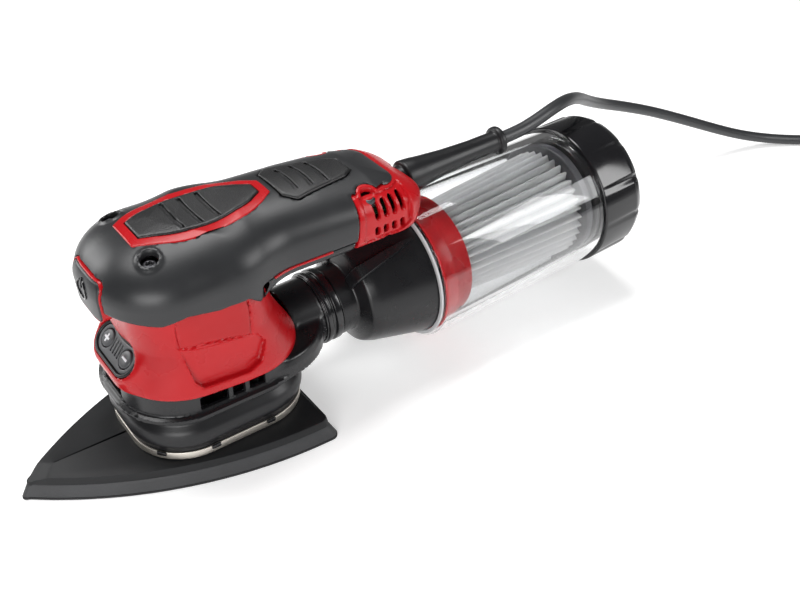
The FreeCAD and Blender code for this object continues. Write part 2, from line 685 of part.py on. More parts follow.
gland_hole = placed(turned("gland_hole", [(0, 0), (7.2, 0), (7.2, 60), (0, 60)]),
                    Vector(95, 0, 107.2), Rotation(Vector(0, 1, 0), 90))
vent_slots = []
for side in (-1, 1):
    low, high = sorted((side * 25.0, side * 40.0))
    for index in range(4):
        x = 86 + 5.2 * index
        vent_slots.append(box("slot_high_%d_%d" % (side, index), (x, low, 108.2), (x + 2.8, high, 117)))
        vent_slots.append(box("slot_low_%d_%d" % (side, index), (x - 1, low, 98.2),
                              (x + 1.8, high, 102.6)))
vent_shell = common("vent_common", cut("vent_shell_cut", grip_solid("vent_outer", 0),
                                       grip_solid("vent_inner", 2.6)),
                    side_prism("vent_region", VENT_SIDE))
node(cut("vent_cut", vent_shell, gland_hole, *(vent_slots + [
    cylinder("rear_recess_%d" % index, 4.0, 110, 130, SCREW_SPOTS[index][:2])
    for index in (2, 3)])), "rear_vent_housing")

node(cut("ring_cut", palm("ring_outer", PALM_SEAT + 0.1, 129.2, 4.2),
         palm("ring_inner", 120, 135, 0.2)), "palm_ring")


def grooves(name, centres, half):
    """Shallow finger grooves across a grip pad."""
    return [box("%s_groove%d" % (name, index), (x - 0.7, -half, 129.0), (x + 0.7, half, 132))
            for index, x in enumerate(centres)]


node(cut("palm_cut", palm("palm_plate", PALM_SEAT + 0.1, 129.6, 0),
         *grooves("palm", (-7, 2.5, 11.5), 10)), "front_palm_pad")
node(cut("rear_palm_cut", rear_palm("rear_palm_plate", 124.7, 128.2, 0),
         *[box("rear_groove_%d" % index, (x - 0.7, -9, 127.6), (x + 0.7, 9, 130))
           for index, x in enumerate((53.5, 62.5, 71.5))]), "rear_palm_pad")

trims = []
for side in (-1, 1):
    low, high = sorted((side * 31.8, side * 33.2))
    trims.append(box("trim_%d" % side, (27, low, 98.9), (60, high, 99.9)))
node(group("trim_group", trims), "trim_strips")

button_skin = cut("button_skin", grip_solid("button_outer", -0.6), grip_solid("button_inner", 2.0))
button_plate = common("button_plate", button_skin,
                      box("button_block", (-60, -BUTTON_HALF, 94.4), (-40, BUTTON_HALF, 114.6)))
button_stem = box("button_stem", (-50.5, -4, 101), (-46.5, 4, 109))
node(fuse("button_fuse", button_plate, button_stem), "power_button")
node(box("switch_box", (-44.6, -7, 101), (-36, 7, 110)), "power_switch")


def cover_screw(name, spot):
    """A pan-head screw in its recess, with a star socket left plain."""
    x, y, z = spot
    head = cylinder(name + "_head", 3.5, z - 5.4, z - 2.8, (x, y))
    shank = cylinder(name + "_shank", 1.7, z - 18, z - 5.3, (x, y))
    return fuse(name, head, shank)


node(group("screw_group", [cover_screw("cover_screw_%d" % index, spot)
                           for index, spot in enumerate(SCREW_SPOTS)]), "cover_screws")

# ---------------------------------------------------------------- electronics in the handle
node(box("board_box", (38, -18, 102.2), (104, 18, 103.8)), "control_board")
capacitors = [cylinder("capacitor_%d" % index, 5.0, 103.9, 115.5, (x, 8.5))
              for index, x in enumerate((48, 60))]
chips = [box("chip_%d" % index, (x, -13, 103.9), (x + 8, -3, 106.4))
         for index, x in enumerate((44, 56, 68))]
heat_sink = box("heat_sink", (78, -14, 103.9), (98, 14, 110))
node(group("component_group", capacitors + chips + [heat_sink]), "board_components")
clamp_low = box("clamp_low", (106, -9, 98), (113, 9, 103.2))
clamp_cut = placed(turned("clamp_hollow", [(0, 0), (4.0, 0), (4.0, 20), (0, 20)]),
                   Vector(100, 0, 107.2), Rotation(Vector(0, 1, 0), 90))
clamp_high = box("clamp_high", (106, -9, 103.3), (113, 9, 112))
node(cut("clamp_cut", fuse("clamp_fuse", clamp_low, clamp_high), clamp_cut), "cord_clamp")

# ---------------------------------------------------------------- canister and its adapter
adapter = on_duct("adapter_turned", [
    (14.8, -85.4), (cell("spigot_radius"), -85.4), (cell("spigot_radius"), -76.1), (19.7, -76.1),
    (19.7, -65.5), (28.5, -63), (30.5, -58), (38.2, -27), (38.2, -24.4), (36.4, -24.4),
    (36.4, -15.0), (33.6, -15.0), (33.6, -26), (26.5, -57), (17.0, -62), (16.6, -74)])
node(adapter, "canister_adapter")

node(on_duct("seal_body", [(38.4, -26.2), (41.4, -26.2), (41.4, -24.6), (38.4, -24.6)]),
     "canister_seal")
tube_inner = cell("tube_radius") - cell("tube_wall")
node(on_duct("tube_body", [(tube_inner, -cell("tube_front")),
                           (cell("tube_radius"), -cell("tube_front")),
                           (cell("tube_radius"), cell("tube_rear")),
                           (tube_inner, cell("tube_rear"))]), "dust_canister")
node(on_duct("red_collar_body", [(36.8, -23), (tube_inner - 0.1, -23), (tube_inner - 0.1, -10),
                                 (35.2, 0), (32.4, 0), (36.8, -11)]), "red_collar")

PLEATS = int(cell("pleat_count"))


def pleats(peak, valley):
    """A star-shaped outline: one peak and one valley for each pleat."""
    corners = []
    for index in range(2 * PLEATS):
        radius = peak if index % 2 else valley
        angle = math.pi * index / PLEATS
        corners.append(Vector(radius * math.cos(angle), radius * math.sin(angle), 0))
    return [Part.LineSegment(corners[index], corners[(index + 1) % len(corners)])
            for index in range(len(corners))]


filter_start = 4.0
filter_end = 86.0
filter_outer = loft("filter_outer", [("0", pleats(28.0, 24.5)),
                                     (str(filter_end - filter_start), pleats(33.5, 29.0))])
filter_core = cylinder("filter_core", 20, -1, 100)
node(placed(cut("filter_cut", filter_outer, filter_core), DUCT_BASE + DUCT_AXIS * filter_start,
            DUCT_TURN), "filter_cartridge")
node(on_duct("filter_nose_body", [(0, 1.0), (24, 1.0), (27.6, 3.9), (0, 3.9)]), "filter_nose")
node(on_duct("filter_base_body", [(0, 86.1), (37.6, 86.1), (37.6, 91.0), (0, 91.0)]),
     "filter_base")
cap_inside = tube_inner - 0.3
node(on_duct("cap_body", [(0, 91.2), (cap_inside, 91.2), (cap_inside, 95.5),
                          (cell("cap_radius"), 95.5), (cell("cap_radius"), 120),
                          (cell("cap_radius") - 3, 125.5), (cell("cap_radius") - 7, 127),
                          (cell("cap_radius") - 12, 127), (cell("cap_radius") - 15, 123),
                          (0, 123), (0, 120), (cell("cap_radius") - 14, 120),
                          (cell("cap_radius") - 5, 121), (cell("cap_radius") - 5, 94),
                          (0, 94)]), "canister_cap")

# ---------------------------------------------------------------- cord
GLAND_END = Vector(194.0, 0, 108.0)
GLAND_BASE = Vector(125.5, 0, 105.0)
gland = turned("gland_body", [(4.0, 0), (9.6, 0), (9.0, 12), (7.4, 30), (6.5, 48), (6.4, 60),
                              (8.8, 63.5), (8.8, 66.5), (7.2, 67.6), (4.0, 67.6)])
gland_axis = (GLAND_END - GLAND_BASE).normalize()
gland_turn = Rotation(Vector(0, 0, 1), gland_axis)
node(placed(gland, GLAND_BASE, gland_turn), "cable_gland")

CORD_ROUTE = [(193, 0, 108), (206, 0, 108.6), (220, 0.6, 111.2), (235, 2.4, 114.4), (250, 7, 113.8),
              (267, 15.6, 107.6), (286, 27.8, 97.4), (306, 40, 85.6), (330, 49.6, 73.4),
              (358, 52.5, 62.5), (388, 51.5, 51), (420, 47, 37.5), (450, 41, 24.5), (476, 35, 14),
              (498, 28, 7.4), (517, 18.5, 4.2), (533, 7.5, 3.85), (549, -2, 3.85), (567, -9.5, 3.85),
              (586, -14.2, 3.85)]
ARC_SHARE = 0.45


def rounded_path(points, share):
    """Straight runs joined by tangent arcs, as one wire, with the arcs' radii."""
    starts = [points[0]]
    arcs = []
    radii = []
    for before, here, after in zip(points, points[1:], points[2:]):
        back = (before - here)
        ahead = (after - here)
        reach = share * min(back.Length, ahead.Length)
        back.normalize()
        ahead.normalize()
        half_turn = (math.pi - back.getAngle(ahead)) / 2
        radius = reach / math.tan(half_turn)
        bisector = (back + ahead).normalize()
        centre = here + bisector * (radius / math.cos(half_turn))
        middle = centre - bisector * radius
        arcs.append((here + back * reach, middle, here + ahead * reach))
        radii.append(radius)
    edges = []
    at = starts[0]
    for first, middle, last in arcs:
        edges.append(Part.LineSegment(at, first).toShape())
        edges.append(Part.Arc(first, middle, last).toShape())
        at = last
    edges.append(Part.LineSegment(at, points[-1]).toShape())
    return Part.Wire(edges), radii


def cord_tube(name, points):
    """A round cord along a path of points; gives the piece, its wire and its bends' radii."""
    path, radii = rounded_path([Vector(*point) for point in points], ARC_SHARE)
    start = path.Edges[0].tangentAt(0)
    ring = Part.Wire(Part.makeCircle(cell("cord_radius"), Vector(*points[0]), start))
    tube = doc.addObject("Part::Feature", name)
    tube.Shape = path.makePipeShell([ring], True, False)
    return tube, path, radii


cord, cord_path, cord_radii = cord_tube("cord_tube", CORD_ROUTE)
node(cord, "cord_lead")

COIL_CENTRE = Vector(571.1, -73.7, 0)
COIL_BASE = 0.1
COIL_PITCH = 7.7
INNER_TURN = 30.5
coil_inside = INNER_TURN - cell("cord_radius") - 0.1
coil_outside = INNER_TURN + 3 * COIL_PITCH + cell("cord_radius") + 0.1
coil_top = COIL_BASE + 3 * 2 * cell("cord_radius") + 0.2
coil_step = COIL_BASE + 2 * cell("cord_radius")
coil = turned("coil_body", [
    (coil_inside, COIL_BASE), (coil_outside + COIL_PITCH, COIL_BASE),
    (coil_outside + COIL_PITCH, coil_step), (coil_outside, coil_step), (coil_outside, coil_top),
    (coil_inside, coil_top)])
node(placed(coil, COIL_CENTRE, Rotation()), "cord_coil")

PLUG_ANGLE = 35.8
PLUG_HEIGHT = coil_top + 7.2


def beside_coil(along, across, height):
    """A point given along the inner turn's tangent, outward from the coil's middle, and up."""
    angle = math.radians(PLUG_ANGLE)
    outward = Vector(math.cos(angle), math.sin(angle), 0)
    forward = Vector(math.sin(angle), -math.cos(angle), 0)
    return COIL_CENTRE + outward * (INNER_TURN + across) + forward * along + Vector(0, 0, height)


tail_points = [tuple(beside_coil(along, 0, height)) for along, height in
               ((-52, 19.1), (-30, 19.1), (-8, PLUG_HEIGHT - 1.4), (8, PLUG_HEIGHT))]
tail, tail_path, tail_radii = cord_tube("tail_tube", tail_points)
node(tail, "cord_tail")

plug_turn = Rotation(Vector(0, 0, 1), PLUG_ANGLE - 90).multiply(Rotation(Vector(0, 1, 0), 90))


def on_plug(obj):
    """Lay a piece made round +Z along the plug's axis."""
    return placed(obj, beside_coil(0, 0, PLUG_HEIGHT), plug_turn)


node(on_plug(turned("plug_boot_body", [(0, 8.1), (4.6, 8.1), (6.2, 21.9), (0, 21.9)])), "plug_boot")
plug_half = 6.8
plug_levels = [("22", rounded(-5.6, 5.6, 7, 5)), ("36", rounded(-plug_half, plug_half, 16, 6)),
               ("58", rounded(-plug_half, plug_half, 17, 6))]
node(on_plug(loft("plug_solid", plug_levels)), "plug_body")
PIN_SPREAD = 9.5
pins = [cylinder("pin_%d" % side, 2.4, 58.05, 77, (0, side * PIN_SPREAD)) for side in (-1, 1)]
node(on_plug(group("pin_group", pins)), "plug_pins")

# ---------------------------------------------------------------- finish
doc.recompute()
for obj in doc.Objects:
    if "Invalid" in obj.State or "Error" in obj.State:
        raise RuntimeError("%s failed: %s" % (obj.Label, obj.State))
names = [obj.Label for obj in nodes]
if len(set(names)) != len(names):
    raise RuntimeError("two nodes share a name")
os.makedirs("parts", exist_ok=True)
for obj in nodes:
    if obj.Shape.isNull() or not obj.Shape.isValid():
        raise RuntimeError("%s has no valid shape" % obj.Label)
    obj.Shape.exportStep("parts/%s.step" % obj.Label)
print("nodes:", len(nodes))
cord_section = math.pi * cell("cord_radius") ** 2
for tube, path, radii in ((cord, cord_path, cord_radii), (tail, tail_path, tail_radii)):
    print(tube.Label, "radii:", [round(radius, 1) for radius in radii])
    print("length %.1f, volume over section times length %.4f" % (
        path.Length, tube.Shape.Volume / (cord_section * path.Length)))
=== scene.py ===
"""The looks of a corded detail sander: shells, pad, bellows, keypad, dust canister and cord.

Sizes are in millimetres in the machine's own frame: +X to the rear, -Y to the viewer's side,
+Z up, with the origin on the motor's axis at the sanding face.
"""
import json
import math

import bmesh
import bpy
import numpy as np
from mathutils import Matrix, Vector


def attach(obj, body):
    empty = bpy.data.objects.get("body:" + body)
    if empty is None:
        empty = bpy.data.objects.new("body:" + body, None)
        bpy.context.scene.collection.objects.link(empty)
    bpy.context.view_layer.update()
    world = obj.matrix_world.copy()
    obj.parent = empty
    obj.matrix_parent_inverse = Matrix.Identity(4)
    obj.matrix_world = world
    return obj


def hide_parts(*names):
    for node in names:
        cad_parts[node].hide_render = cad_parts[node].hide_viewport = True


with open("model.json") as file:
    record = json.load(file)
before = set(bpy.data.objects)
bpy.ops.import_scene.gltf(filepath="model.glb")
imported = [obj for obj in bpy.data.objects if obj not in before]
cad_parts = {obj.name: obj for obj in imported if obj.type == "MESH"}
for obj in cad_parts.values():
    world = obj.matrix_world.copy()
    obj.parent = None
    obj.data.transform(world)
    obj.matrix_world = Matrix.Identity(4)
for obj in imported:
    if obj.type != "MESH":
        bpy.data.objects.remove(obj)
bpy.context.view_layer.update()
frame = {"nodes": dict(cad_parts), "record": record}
MM = 0.001
FAR = 1e9


def linked(name, data):
    """A new object in the scene."""
    obj = bpy.data.objects.new(name, data)
    bpy.context.scene.collection.objects.link(obj)
    return obj


# ---------------------------------------------------------------- camera, stage and lights
CAMERA_PLACE = (-152.79, -370.14, 369.96)
CAMERA_AZIMUTH = math.radians(-37.02)
CAMERA_ELEVATION = math.radians(36.92)
CAMERA_ROLL = math.radians(1.26)
LENS = 44.62
FRAME_WIDTH = 800
SHIFT_RIGHT = -1.65
SHIFT_UP = 2.01


def camera_axes():
    """The camera's right, up and backward directions."""
    back = Vector((math.sin(CAMERA_AZIMUTH) * math.cos(CAMERA_ELEVATION),
                   -math.cos(CAMERA_AZIMUTH) * math.cos(CAMERA_ELEVATION),
                   math.sin(CAMERA_ELEVATION)))
    right = (-back).cross(Vector((0, 0, 1))).normalized()
    up = right.cross(-back)
    tilted = right * math.cos(CAMERA_ROLL) + up * math.sin(CAMERA_ROLL)
    upright = up * math.cos(CAMERA_ROLL) - right * math.sin(CAMERA_ROLL)
    return tilted, upright, back


def build_camera():
    """The photograph's viewpoint."""
    data = bpy.data.cameras.new("view_camera")
    data.sensor_width = 36
    data.lens = LENS
    data.shift_x = SHIFT_RIGHT / FRAME_WIDTH
    data.shift_y = SHIFT_UP / FRAME_WIDTH
    data.clip_start = 0.02
    data.clip_end = 20
    camera = linked("view_camera", data)
    axes = Matrix([list(axis) for axis in camera_axes()]).transposed()
    camera.matrix_world = Matrix.Translation(Vector(CAMERA_PLACE) * MM) @ axes.to_4x4()
    bpy.context.scene.camera = camera


def area_light(name, place, target, size, power):
    """A soft box at place, facing target."""
    data = bpy.data.lights.new(name, "AREA")
    data.shape = "RECTANGLE"
    data.size, data.size_y = size[0] * MM, size[1] * MM
    data.energy = power
    light = linked(name, data)
    light.location = Vector(place) * MM
    direction = Vector(target) - Vector(place)
    light.rotation_euler = direction.to_track_quat("-Z", "Y").to_euler()


def build_lights():
    """A white room with an overhead soft box, one box on each side, and a rear strip."""
    world = bpy.data.worlds.new("studio")
    bpy.context.scene.world = world
    world.use_nodes = True
    sky = world.node_tree.nodes["Background"].inputs
    sky["Color"].default_value = (1, 1, 1, 1)
    sky["Strength"].default_value = 0.13
    area_light("top_box", (60, 260, 900), (80, 0, 60), (900, 360), 10)
    area_light("side_box", (-520, -600, 300), (20, 0, 60), (520, 420), 5.2)
    area_light("right_box", (620, -560, 420), (140, 0, 60), (300, 420), 3.4)
    area_light("rear_strip", (-380, 620, 380), (20, 0, 80), (300, 300), 2.6)


# ---------------------------------------------------------------- materials
MATERIALS = {}


def material(name):
    """A new node material with its shader, ready for its constants."""
    made = bpy.data.materials.new(name)
    made.use_nodes = True
    tree = made.node_tree
    return made, tree, tree.nodes["Principled BSDF"]


def noise(tree, scale, detail=2.0, stretch=None):
    """A noise texture with about scale cells to the metre."""
    place = tree.nodes.new("ShaderNodeTexCoord").outputs["Object"]
    if stretch:
        mapping = tree.nodes.new("ShaderNodeMapping")
        mapping.inputs["Scale"].default_value = stretch
        tree.links.new(place, mapping.inputs["Vector"])
        place = mapping.outputs["Vector"]
    node = tree.nodes.new("ShaderNodeTexNoise")
    node.inputs["Scale"].default_value = scale
    node.inputs["Detail"].default_value = detail
    tree.links.new(place, node.inputs["Vector"])
    return node.outputs["Fac"]


def ramp(tree, source, stops):
    """A colour ramp over source; stops are (place, colour) pairs."""
    node = tree.nodes.new("ShaderNodeValToRGB")
    elements = node.color_ramp.elements
    while len(elements) < len(stops):
        elements.new(0.5)
    for element, (place, colour) in zip(elements, stops):
        element.position = place
        element.color = (*colour, 1)
    tree.links.new(source, node.inputs["Fac"])
    return node.outputs["Color"]


def grey(value):
    """A neutral colour."""
    return (value, value, value)


def bump(tree, source, strength, distance):
    """A bump node over source, and its normal."""
    node = tree.nodes.new("ShaderNodeBump")
    node.inputs["Strength"].default_value = strength
    node.inputs["Distance"].default_value = distance
    tree.links.new(source, node.inputs["Height"])
    return node.outputs["Normal"]


def shade(colour, factor):
    """The colour made lighter or darker."""
    return tuple(min(1.0, channel * factor) for channel in colour)


def moulded(name, colour, roughness, grain=1800.0, depth=0.00003, strength=0.35, spread=0.10,
            mottle=60.0, **constants):
    """Moulded plastic or rubber: a fine even grain, faint colour drift, uneven polish."""
    made, tree, shader = material(name)
    drift = noise(tree, mottle, 3.0)
    tree.links.new(ramp(tree, drift, [(0.3, shade(colour, 1 - spread)),
                                      (0.7, shade(colour, 1 + spread))]),
                   shader.inputs["Base Color"])
    fine = noise(tree, grain, 2.0)
    tree.links.new(ramp(tree, drift, [(0.25, grey(max(0.02, roughness - 0.04))),
                                      (0.75, grey(min(1.0, roughness + 0.04)))]),
                   shader.inputs["Roughness"])
    tree.links.new(bump(tree, fine, strength, depth), shader.inputs["Normal"])
    for socket, value in constants.items():
        shader.inputs[socket.replace("_", " ")].default_value = value
    MATERIALS[name] = made


def brushed(name, colour, roughness, stretch=(40, 40, 900)):
    """Metal with a fine drawn grain."""
    made, tree, shader = material(name)
    lines = noise(tree, 30.0, 4.0, stretch)
    tree.links.new(ramp(tree, lines, [(0.3, shade(colour, 0.86)), (0.7, colour)]),
                   shader.inputs["Base Color"])
    tree.links.new(ramp(tree, lines, [(0.3, grey(roughness)), (0.7, grey(roughness + 0.12))]),
                   shader.inputs["Roughness"])
    tree.links.new(bump(tree, lines, 0.15, 0.00002), shader.inputs["Normal"])
    shader.inputs["Metallic"].default_value = 1.0
    MATERIALS[name] = made


def clear_plastic():
    """Clear polycarbonate with a trace of flow marks."""
    made, tree, shader = material("clear_plastic")
    flow = noise(tree, 24.0, 3.0, (1, 3, 3))
    tree.links.new(ramp(tree, flow, [(0.2, (0.93, 0.94, 0.95)), (0.8, (0.985, 0.99, 0.995))]),
                   shader.inputs["Base Color"])
    tree.links.new(ramp(tree, flow, [(0.3, grey(0.03)), (0.8, grey(0.07))]),
                   shader.inputs["Roughness"])
    tree.links.new(bump(tree, flow, 0.12, 0.0004), shader.inputs["Normal"])
    shader.inputs["Transmission Weight"].default_value = 1.0
    shader.inputs["IOR"].default_value = 1.07
    shader.inputs["Coat Weight"].default_value = 0.7
    shader.inputs["Coat IOR"].default_value = 1.55
    shader.inputs["Coat Roughness"].default_value = 0.03
    MATERIALS["clear_plastic"] = made


moulded("soft_grip", (0.015, 0.0155, 0.0168), 0.38, 2600, 0.00002, 0.3, 0.06,
        Specular_IOR_Level=0.38)
moulded("black_plastic", (0.007, 0.007, 0.008), 0.28, 2200, 0.00002, 0.25,
        Specular_IOR_Level=0.35)
moulded("gloss_black", (0.006, 0.006, 0.007), 0.16, 900, 0.00001, 0.12)
moulded("red_plastic", (0.36, 0.004, 0.007), 0.28, 2000, 0.00002, 0.2, 0.05,
        Specular_IOR_Level=0.28)
moulded("rubber", (0.008, 0.008, 0.009), 0.36, 1500, 0.00003, 0.3, Specular_IOR_Level=0.32)
moulded("foam", (0.025, 0.0256, 0.0275), 0.6, 1400, 0.0002, 0.6, 0.25)
moulded("hook", (0.012, 0.012, 0.013), 0.85, 900, 0.0004, 0.9, 0.3)
brushed("band_metal", (0.66, 0.62, 0.56), 0.38)
brushed("steel", (0.58, 0.58, 0.60), 0.25)
brushed("aluminium", (0.70, 0.71, 0.73), 0.35)
moulded("copper", (0.50, 0.17, 0.05), 0.35, 1200, 0.0002, 0.6, 0.2, Metallic=1.0)
brushed("lamination", (0.30, 0.30, 0.32), 0.4, (5, 5, 2000))
moulded("board", (0.01, 0.09, 0.03), 0.35, 500, 0.00004, 0.4, 0.25)
moulded("key_grey", (0.050, 0.052, 0.056), 0.42, 2400, 0.00002, 0.3, 0.08)
brushed("screw_black", (0.07, 0.07, 0.075), 0.38)
moulded("filter_paper", (0.42, 0.42, 0.42), 0.85, 1800, 0.0001, 0.5, 0.06)
moulded("filter_plastic", (0.045, 0.045, 0.05), 0.4)
moulded("cord_jacket", (0.020, 0.021, 0.023), 0.42, 1600, 0.00004, 0.3)
moulded("plug_plastic", (0.018, 0.018, 0.020), 0.40, 1800, 0.00003, 0.3)
brushed("pin_metal", (0.75, 0.74, 0.70), 0.2)
moulded("label_red", (0.33, 0.004, 0.006), 0.30, 2600, 0.00002, 0.3, 0.05,
        Specular_IOR_Level=0.28)
moulded("mark_pale", (0.62, 0.63, 0.65), 0.5, 1500, 0.00002, 0.2, 0.04)
moulded("pad_rubber", (0.005, 0.005, 0.0055), 0.38, 1500, 0.00025, 0.9)
moulded("pad_plate", (0.009, 0.0093, 0.0102), 0.50, 2400, 0.00002, 0.3, Specular_IOR_Level=0.24)
moulded("seal_grey", (0.42, 0.42, 0.43), 0.5, 1800, 0.00002, 0.3, 0.05)
moulded("floor_paint", (0.82, 0.82, 0.82), 0.9, 40, 0.0002, 0.1, 0.01, 3.0,
        Emission_Color=(1, 1, 1, 1), Emission_Strength=0.35)
clear_plastic()

# ---------------------------------------------------------------- mesh making
def made_object(name, points, faces, smooth_angle=None):
    """A mesh object from points in millimetres."""
    mesh = bpy.data.meshes.new(name)
    mesh.from_pydata([tuple(point) for point in np.asarray(points) * MM], [],
                     [list(map(int, face)) for face in faces])
    mesh.validate()
    mesh.update()
    obj = linked(name, mesh)
    shade_smooth(mesh)
    if smooth_angle is not None:
        sharpen(obj, smooth_angle)
    return obj


def shade_smooth(mesh):
    """Every face of the mesh is drawn smooth."""
    for polygon in mesh.polygons:
        polygon.use_smooth = True


def sharpen(obj, angle):
    """Edges that turn by more than the angle, in degrees, are drawn sharp."""
    work = bmesh.new()
    work.from_mesh(obj.data)
    for edge in work.edges:
        if len(edge.link_faces) == 2:
            edge.smooth = edge.calc_face_angle() < math.radians(angle)
    work.to_mesh(obj.data)
    work.free()


def dress(obj, body, slot, finish=None, nodes=()):
    """Gives a piece its body and its finish, and hides the CAD nodes that it stands for."""
    obj.data.materials.clear()
    obj.data.materials.append(MATERIALS[finish or slot])
    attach(obj, body)
    if nodes:
        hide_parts(*nodes)
    return obj


def joined(name, objects):
    """Several mesh objects as one."""
    work = bmesh.new()
    for obj in objects:
        work.from_mesh(obj.data)
    mesh = bpy.data.meshes.new(name)
    work.to_mesh(mesh)
    work.free()
    for obj in objects:
        bpy.data.objects.remove(obj)
    return linked(name, mesh)


def apply_modifiers(obj):
    """Replaces the mesh by its evaluated form."""
    graph = bpy.context.evaluated_depsgraph_get()
    graph.update()
    mesh = bpy.data.meshes.new_from_object(obj.evaluated_get(graph))
    obj.modifiers.clear()
    obj.data = mesh


def ring_faces(rows, count, closed_rows=False):
    """Quads between rows of count points each, going round."""
    faces = []
    last = rows if closed_rows else rows - 1
    for row in range(last):
        low = row * count
        high = ((row + 1) % rows) * count
        for index in range(count):
            after = (index + 1) % count
            faces.append((low + index, low + after, high + after, high + index))
    return faces


def loft(name, rings, caps=(True, True), closed=False, smooth_angle=30):
    """A skin through rings of equal point counts, each an (n, 3) array."""
    count = len(rings[0])
    points = np.concatenate(rings)
    faces = ring_faces(len(rings), count, closed)
    if caps[0] and not closed:
        faces.append(tuple(reversed(range(count))))
    if caps[1] and not closed:
        start = (len(rings) - 1) * count
        faces.append(tuple(range(start, start + count)))
    return made_object(name, points, faces, smooth_angle)


def lathe(name, profile, segments=128, turn=None, closed=True, smooth_angle=30):
    """A body turned from (radius, height) points, about +Z or by a placing function."""
    angles = np.linspace(0, 2 * math.pi, segments, endpoint=False)
    rings = []
    for radius, height in profile:
        ring = np.stack([radius * np.cos(angles), radius * np.sin(angles),
                         np.full(segments, float(height))], 1)
        rings.append(turn(ring) if turn else ring)
    return loft(name, rings, (not closed, not closed), closed, smooth_angle)


def softened(profile, radius, steps=4, closed=True):
    """A profile with its corners rounded by up to the radius."""
    points = [np.array(point, float) for point in profile]
    count = len(points)
    out = []
    for index, here in enumerate(points):
        if not closed and index in (0, count - 1):
            out.append(here)
            continue
        before = points[index - 1] - here
        after = points[(index + 1) % count] - here
        lengths = np.linalg.norm(before), np.linalg.norm(after)
        reach = min(radius, 0.45 * lengths[0], 0.45 * lengths[1])
        start = here + before / lengths[0] * reach
        end = here + after / lengths[1] * reach
        for share in np.linspace(0, 1, steps + 1):
            out.append((1 - share) ** 2 * start + 2 * share * (1 - share) * here
                       + share ** 2 * end)
    return [tuple(point) for point in out]


# ---------------------------------------------------------------- solid fields
def smooth_min(first, second, blend):
    """Union of two fields with a soft seam."""
    share = np.clip(0.5 + 0.5 * (second - first) / blend, 0, 1)
    return second * (1 - share) + first * share - blend * share * (1 - share)


def smooth_max(first, second, blend):
    """Intersection of two fields with a rounded edge."""
    return -smooth_min(-first, -second, blend)


def plan_box(x, y, front, rear, half, corner):
    """Distance to a rounded rectangle in plan; its sizes may vary from point to point."""
    across = np.abs(x - (front + rear) / 2) - ((rear - front) / 2 - corner)
    beside = np.abs(y) - (half - corner)
    outside = np.hypot(np.maximum(across, 0), np.maximum(beside, 0))
    return outside + np.minimum(np.maximum(across, beside), 0) - corner


def polygon_field(x, y, corners):
    """Signed distance to a polygon, negative inside."""
    corners = np.array(corners, float)
    best = np.full(x.shape, FAR)
    inside = np.zeros(x.shape, bool)
    for start, end in zip(corners, np.roll(corners, -1, 0)):
        edge = end - start
        share = np.clip(((x - start[0]) * edge[0] + (y - start[1]) * edge[1])
                        / (edge @ edge), 0, 1)
        best = np.minimum(best, np.hypot(x - start[0] - share * edge[0],
                                         y - start[1] - share * edge[1]))
        if edge[1] != 0:
            crosses = (start[1] > y) != (end[1] > y)
            reach = start[0] + (y - start[1]) * edge[0] / edge[1]
            inside ^= crosses & (x < reach)
    return np.where(inside, -best, best)


def surface_net(name, field, low, high, step, smooth_angle=None):
    """A closed mesh of the field's zero surface, with its points drawn onto the surface."""
    axes = [np.arange(a, b + step, step) for a, b in zip(low, high)]
    grid = np.stack(np.meshgrid(*axes, indexing="ij"), -1)
    shape = grid.shape[:3]
    value = field(*grid.reshape(-1, 3).T).reshape(shape)
    cells = tuple(size - 1 for size in shape)
    total = np.zeros(cells + (3,))
    hits = np.zeros(cells)
    offsets = [(0, 0), (0, 1), (1, 0), (1, 1)]
    for axis in range(3):
        others = [other for other in range(3) if other != axis]
        ahead = np.take(value, range(1, shape[axis]), axis)
        behind = np.take(value, range(shape[axis] - 1), axis)
        crosses = (ahead < 0) != (behind < 0)
        share = np.where(crosses, behind / np.where(crosses, behind - ahead, 1), 0)
        for offset in offsets:
            slices = [slice(None)] * 3
            for other, shift in zip(others, offset):
                slices[other] = slice(shift, shape[other] - 1 + shift)
            part = crosses[tuple(slices)]
            hits += part
            total[..., axis] += np.where(part, share[tuple(slices)], 0)
            for other, shift in zip(others, offset):
                total[..., other] += part * shift
    mixed = hits > 0
    number = np.full(cells, -1)
    number[mixed] = np.arange(mixed.sum())
    where = np.argwhere(mixed)
    points = np.array(low) + step * (where + total[mixed] / hits[mixed][:, None])
    faces = []
    for axis in range(3):
        first, second = [other for other in range(3) if other != axis]
        ahead = np.take(value, range(1, shape[axis]), axis) < 0
        behind = np.take(value, range(shape[axis] - 1), axis) < 0
        slices = [slice(None)] * 3
        slices[first] = slice(1, shape[first] - 1)
        slices[second] = slice(1, shape[second] - 1)
        change = (ahead != behind)[tuple(slices)]
        leaves = behind[tuple(slices)][change]
        spots = np.argwhere(change)
        spots[:, first] += 1
        spots[:, second] += 1
        corners = []
        for shift_first, shift_second in ((-1, -1), (0, -1), (0, 0), (-1, 0)):
            spot = spots.copy()
            spot[:, first] += shift_first
            spot[:, second] += shift_second
            corners.append(number[spot[:, 0], spot[:, 1], spot[:, 2]])
        quads = np.stack(corners, 1)
        flip = leaves if axis == 1 else ~leaves
        quads[flip] = quads[flip][:, ::-1]
        faces.append(quads)
    faces = np.concatenate(faces)
    reach = 0.25 * step
    for _ in range(4):
        here = field(*points.T)
        slope = np.stack([(field(*(points + reach * unit).T) - field(*(points - reach * unit).T))
                          / (2 * reach) for unit in np.eye(3)], 1)
        steepness = np.maximum((slope ** 2).sum(1), 0.05)
        move = slope * (here / steepness)[:, None]
        length = np.linalg.norm(move, axis=1)
        move *= np.minimum(1, 0.5 * step / np.maximum(length, 1e-9))[:, None]
        points = points - move
    return made_object(name, points, faces, smooth_angle)


